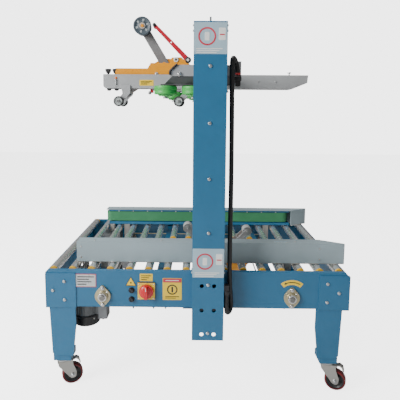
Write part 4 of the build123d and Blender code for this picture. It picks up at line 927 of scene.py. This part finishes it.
# Tension lever: a red painted bar over the upper head, on a black hub with a pale screw, and a
# dark roller at its tip that the tape runs over.
lever_red = finish("lever_red", (0.50, 0.012, 0.030), 0.36, coat=0.2, edge=(0.75, 0.20, 0.22),
    Grain_Scale=450.0, Grain=0.15, Edge_Radius=0.0012)
dress("upper_tension_lever", lever_red)
shape = bmesh.new()
LEVER_FACE = -0.0372
pivot = (-0.045, LEVER_FACE, 1.280)
turn_on(shape, [(5.2, 0), (12.5, 0), (13.5, 1), (13.5, 3.4), (12, 4.4), (5.6, 4.4)], pivot, front, 44)
turn_on(shape, [(5.8, 0), (5.8, 5.2), (4.4, 6.2), (0, 6.2)], (pivot[0], LEVER_FACE, pivot[2]), front,
    32, slot=1)
tip = (-0.189, -0.0370, 1.426)
turn_on(shape, [(0, -0.2), (7.4, -0.2), (8, 0.8), (8, 3), (6.6, 4), (0, 4)], tip, front, 36)
turn_on(shape, [(6.6, 0), (8, 0.6), (8, 52), (6.6, 52.6)], (tip[0], -0.0310, tip[2]), (0, 1, 0), 40,
    slot=2)
make(shape, "lever_hub_and_tip_roller", "upper_tension_lever",
    [knob_black, white_roller, drum_slate])

# Cable fittings: a turned black gland at each end of the head cable, and a red sleeve that
# marks the end at the head.
shape = bmesh.new()
gland = [(8.5, 0), (12.8, 0), (13.2, 3), (13.2, 12), (11.8, 15.5), (8.5, 17)]
turn_on(shape, gland, (0.1055, -0.430, 0.424), DOWN, 24)
make(shape, "entry_gland", "frame", [black_moulding])
shape = bmesh.new()
turn_on(shape, gland, CABLE_ROUTE[0], UP, 24)
turn_on(shape, [(8.5, 0), (9.7, 0), (9.7, 7), (8.5, 7)], (0.139, -0.359, 1.1925), UP, 24, slot=1)
make(shape, "head_gland", "head", [black_moulding, switch_red])

# Printed foils on the machine: clear generic marks with no words, cut with round corners and
# stuck flat on the paint.
LAYER = 0.0004


def sheets_on(shape, face_y, sheets):
    """Foils with round corners that face the operator. Each is (left, right, bottom, top,
    corner radius, layer, slot), with the lengths in millimetres."""
    for left, right, bottom, top, corner, layer, slot in sheets:
        middles = ((right - corner, top - corner), (left + corner, top - corner),
                   (left + corner, bottom + corner), (right - corner, bottom + corner))
        outline = [
            ((x + corner * cos(turn)) * MM, (z + corner * sin(turn)) * MM)
            for quarter, (x, z) in enumerate(middles)
            for turn in (quarter * pi / 2 + k * pi / 6 for k in range(4))
        ]
        prism_on(shape, outline, (0, face_y - layer * LAYER, 0), LENGTHWAYS, front, LAYER, slot=slot)


def ring_on(shape, middle, outer, inner, turns, slot, steps=40):
    """Part of a flat ring that faces the operator, between two turns from the x axis."""
    points = [radians(turns[0] + (turns[1] - turns[0]) * k / steps) for k in range(steps + 1)]
    for first, last in zip(points, points[1:]):
        corners = [(inner, first), (outer, first), (outer, last), (inner, last)]
        prism_on(shape, [(reach * cos(turn), reach * sin(turn)) for reach, turn in corners],
                 middle, LENGTHWAYS, front, LAYER, slot=slot)


foils = [finish("foil_" + shade, color, roughness, metallic, Grain=0.05)
         for shade, color, roughness, metallic in (
             ("pale_blue", (0.36, 0.50, 0.58), 0.35, 0.0), ("red", (0.55, 0.045, 0.070), 0.35, 0.0),
             ("yellow", (0.88, 0.60, 0.035), 0.35, 0.0), ("grey", (0.52, 0.54, 0.55), 0.30, 0.3),
             ("black", (0.015, 0.015, 0.016), 0.4, 0.0), ("white", (0.80, 0.80, 0.78), 0.35, 0.0))]
BLUE, RED, YELLOW, GREY, BLACK, WHITE = range(6)
COLUMN_X, COLUMN_FACE = 38.5, -0.445
shape = bmesh.new()
for low, high in ((1252, 1360), (474, 584)):
    mid = (low + high) / 2
    sheets = [(-56, 56, low + 2, high - 2, 3, 0, BLUE), (-20, -4, mid - 8, mid + 20, 3, 1, WHITE)]
    sheets += [(-48, 20 + 10 * k, low + 6 + 6 * k, low + 9 + 6 * k, 1, 1, WHITE) for k in range(3)]
    sheets += [(27, 50, mid - 6, mid + 34, 3, 1, WHITE), (30, 47, mid + 10, mid + 14, 1, 2, RED)]
    sheets_on(shape, COLUMN_FACE, [(COLUMN_X + left, COLUMN_X + right, *rest) for left, right,
        *rest in sheets])
    ring_on(shape, ((COLUMN_X - 12) * MM, COLUMN_FACE - LAYER, (mid + 6) * MM), 0.030, 0.0245, (0, 360),
        RED)
# name plate with plain bars in place of words
sheets_on(shape, -PANEL_Y, [(-454, -375, 411, 462, 2, 0, RED),
    (-451.5, -377.5, 413.5, 459.5, 1.5, 1, GREY)])
sheets_on(shape, -PANEL_Y, [(-446, -446 + 63 * share, 449 - 9.5 * row, 452.5 - 9.5 * row, 0.8, 2, BLACK)
                            for row, share in enumerate((1.0, 0.7, 0.85, 0.55))])
# yellow triangle, and the small yellow plate beside it
for reach, layer, slot in ((0.0235, 0, BLACK), (0.0195, 1, YELLOW), (0.0045, 2, BLACK)):
    prism_on(shape, polygon(3, reach, pi / 2), (-0.246, -PANEL_Y - layer * LAYER, 0.4295), LENGTHWAYS,
             front, LAYER, slot=slot)
sheets_on(shape, -PANEL_Y, [(-213, -165, 436, 465, 2, 0, YELLOW)] + [
    (-208, -170 - 8 * row, 455.5 - 7.2 * row, 458.2 - 7.2 * row, 0.8, 1, BLACK) for row in range(3)])
# yellow sign with a red head and a plain round mark
sheets_on(shape, -PANEL_Y, [
    (-128, -57, 364, 449, 3, 0, YELLOW), (-126.5, -58.5, 432.5, 447.5, 2, 1, RED),
    (-117, -68, 438.5, 441.5, 1, 2, WHITE), (-95.5, -89.5, 393.5, 415.5, 2, 1, BLACK),
    (-118, -67, 376.5, 378.8, 0.8, 1, BLACK), (-118, -79, 370.5, 372.8, 0.8, 1, BLACK)])
ring_on(shape, (-0.0925, -PANEL_Y - LAYER, 0.4045), 0.0195, 0.0150, (0, 360), BLACK)
# arc over the infeed bearing
ring_on(shape, (SCREW_X, -PANEL_Y, SCREW_Z), 0.068, 0.049, (52, 128), YELLOW)
ring_on(shape, (SCREW_X, -PANEL_Y - LAYER, SCREW_Z), 0.0605, 0.0575, (60, 112), BLACK)
prism_on(shape, polygon(3, 0.0055, pi / 2), (SCREW_X - 0.0245, -PANEL_Y - LAYER, SCREW_Z + 0.0535),
         LENGTHWAYS, front, LAYER, slot=BLACK)
make(shape, "frame_foils", "frame", foils)
shape = bmesh.new()
sheets_on(shape, -RAIL_FACE, [(-254, -193, 1171, 1196, 2, 0, YELLOW)] + [
    (-248, -200 - 10 * row, 1187.5 - 5.5 * row, 1190 - 5.5 * row, 0.8, 1, BLACK) for row in range(3)])
make(shape, "rail_foil", "head", foils)
for side_name, side, x in (("front", -1, (0.297, 0.347)), ("rear", 1, (0.310, 0.360))):
    shape = bmesh.new()
    box_on(shape, (x[0], side * 0.290 - 0.008, 0.5610), (x[1], side * 0.290 + 0.008, 0.5614), 0.00015,
        slot=YELLOW)
    for row in (-1, 1):
        box_on(shape, (x[0] + 0.005, side * 0.290 + row * 0.003 - 0.001, 0.5614), (x[1] - 0.008,
            side * 0.290 + row * 0.003 + 0.001, 0.5616), 0.00005, slot=BLACK)
    make(shape, side_name + "_guard_foil", side_name + "_belt_unit", foils)

# Screws under the front panel: three long dark screws with hexagon heads, which hang down
# through its lower fold.
shape = bmesh.new()
for x in (-0.239, -0.163, -0.118):
    turn_on(shape, [(0, 0), (3, 0), (3, -14), (2.2, -16), (0, -16)], (x, -0.376, 0.342), UP, 16)
    prism_on(shape, polygon(6, 0.0056, 0.1), (x, -0.376, 0.3345), LENGTHWAYS, UP, 0.0045, 0.0004)
make(shape, "panel_screws", "frame", [black_moulding])
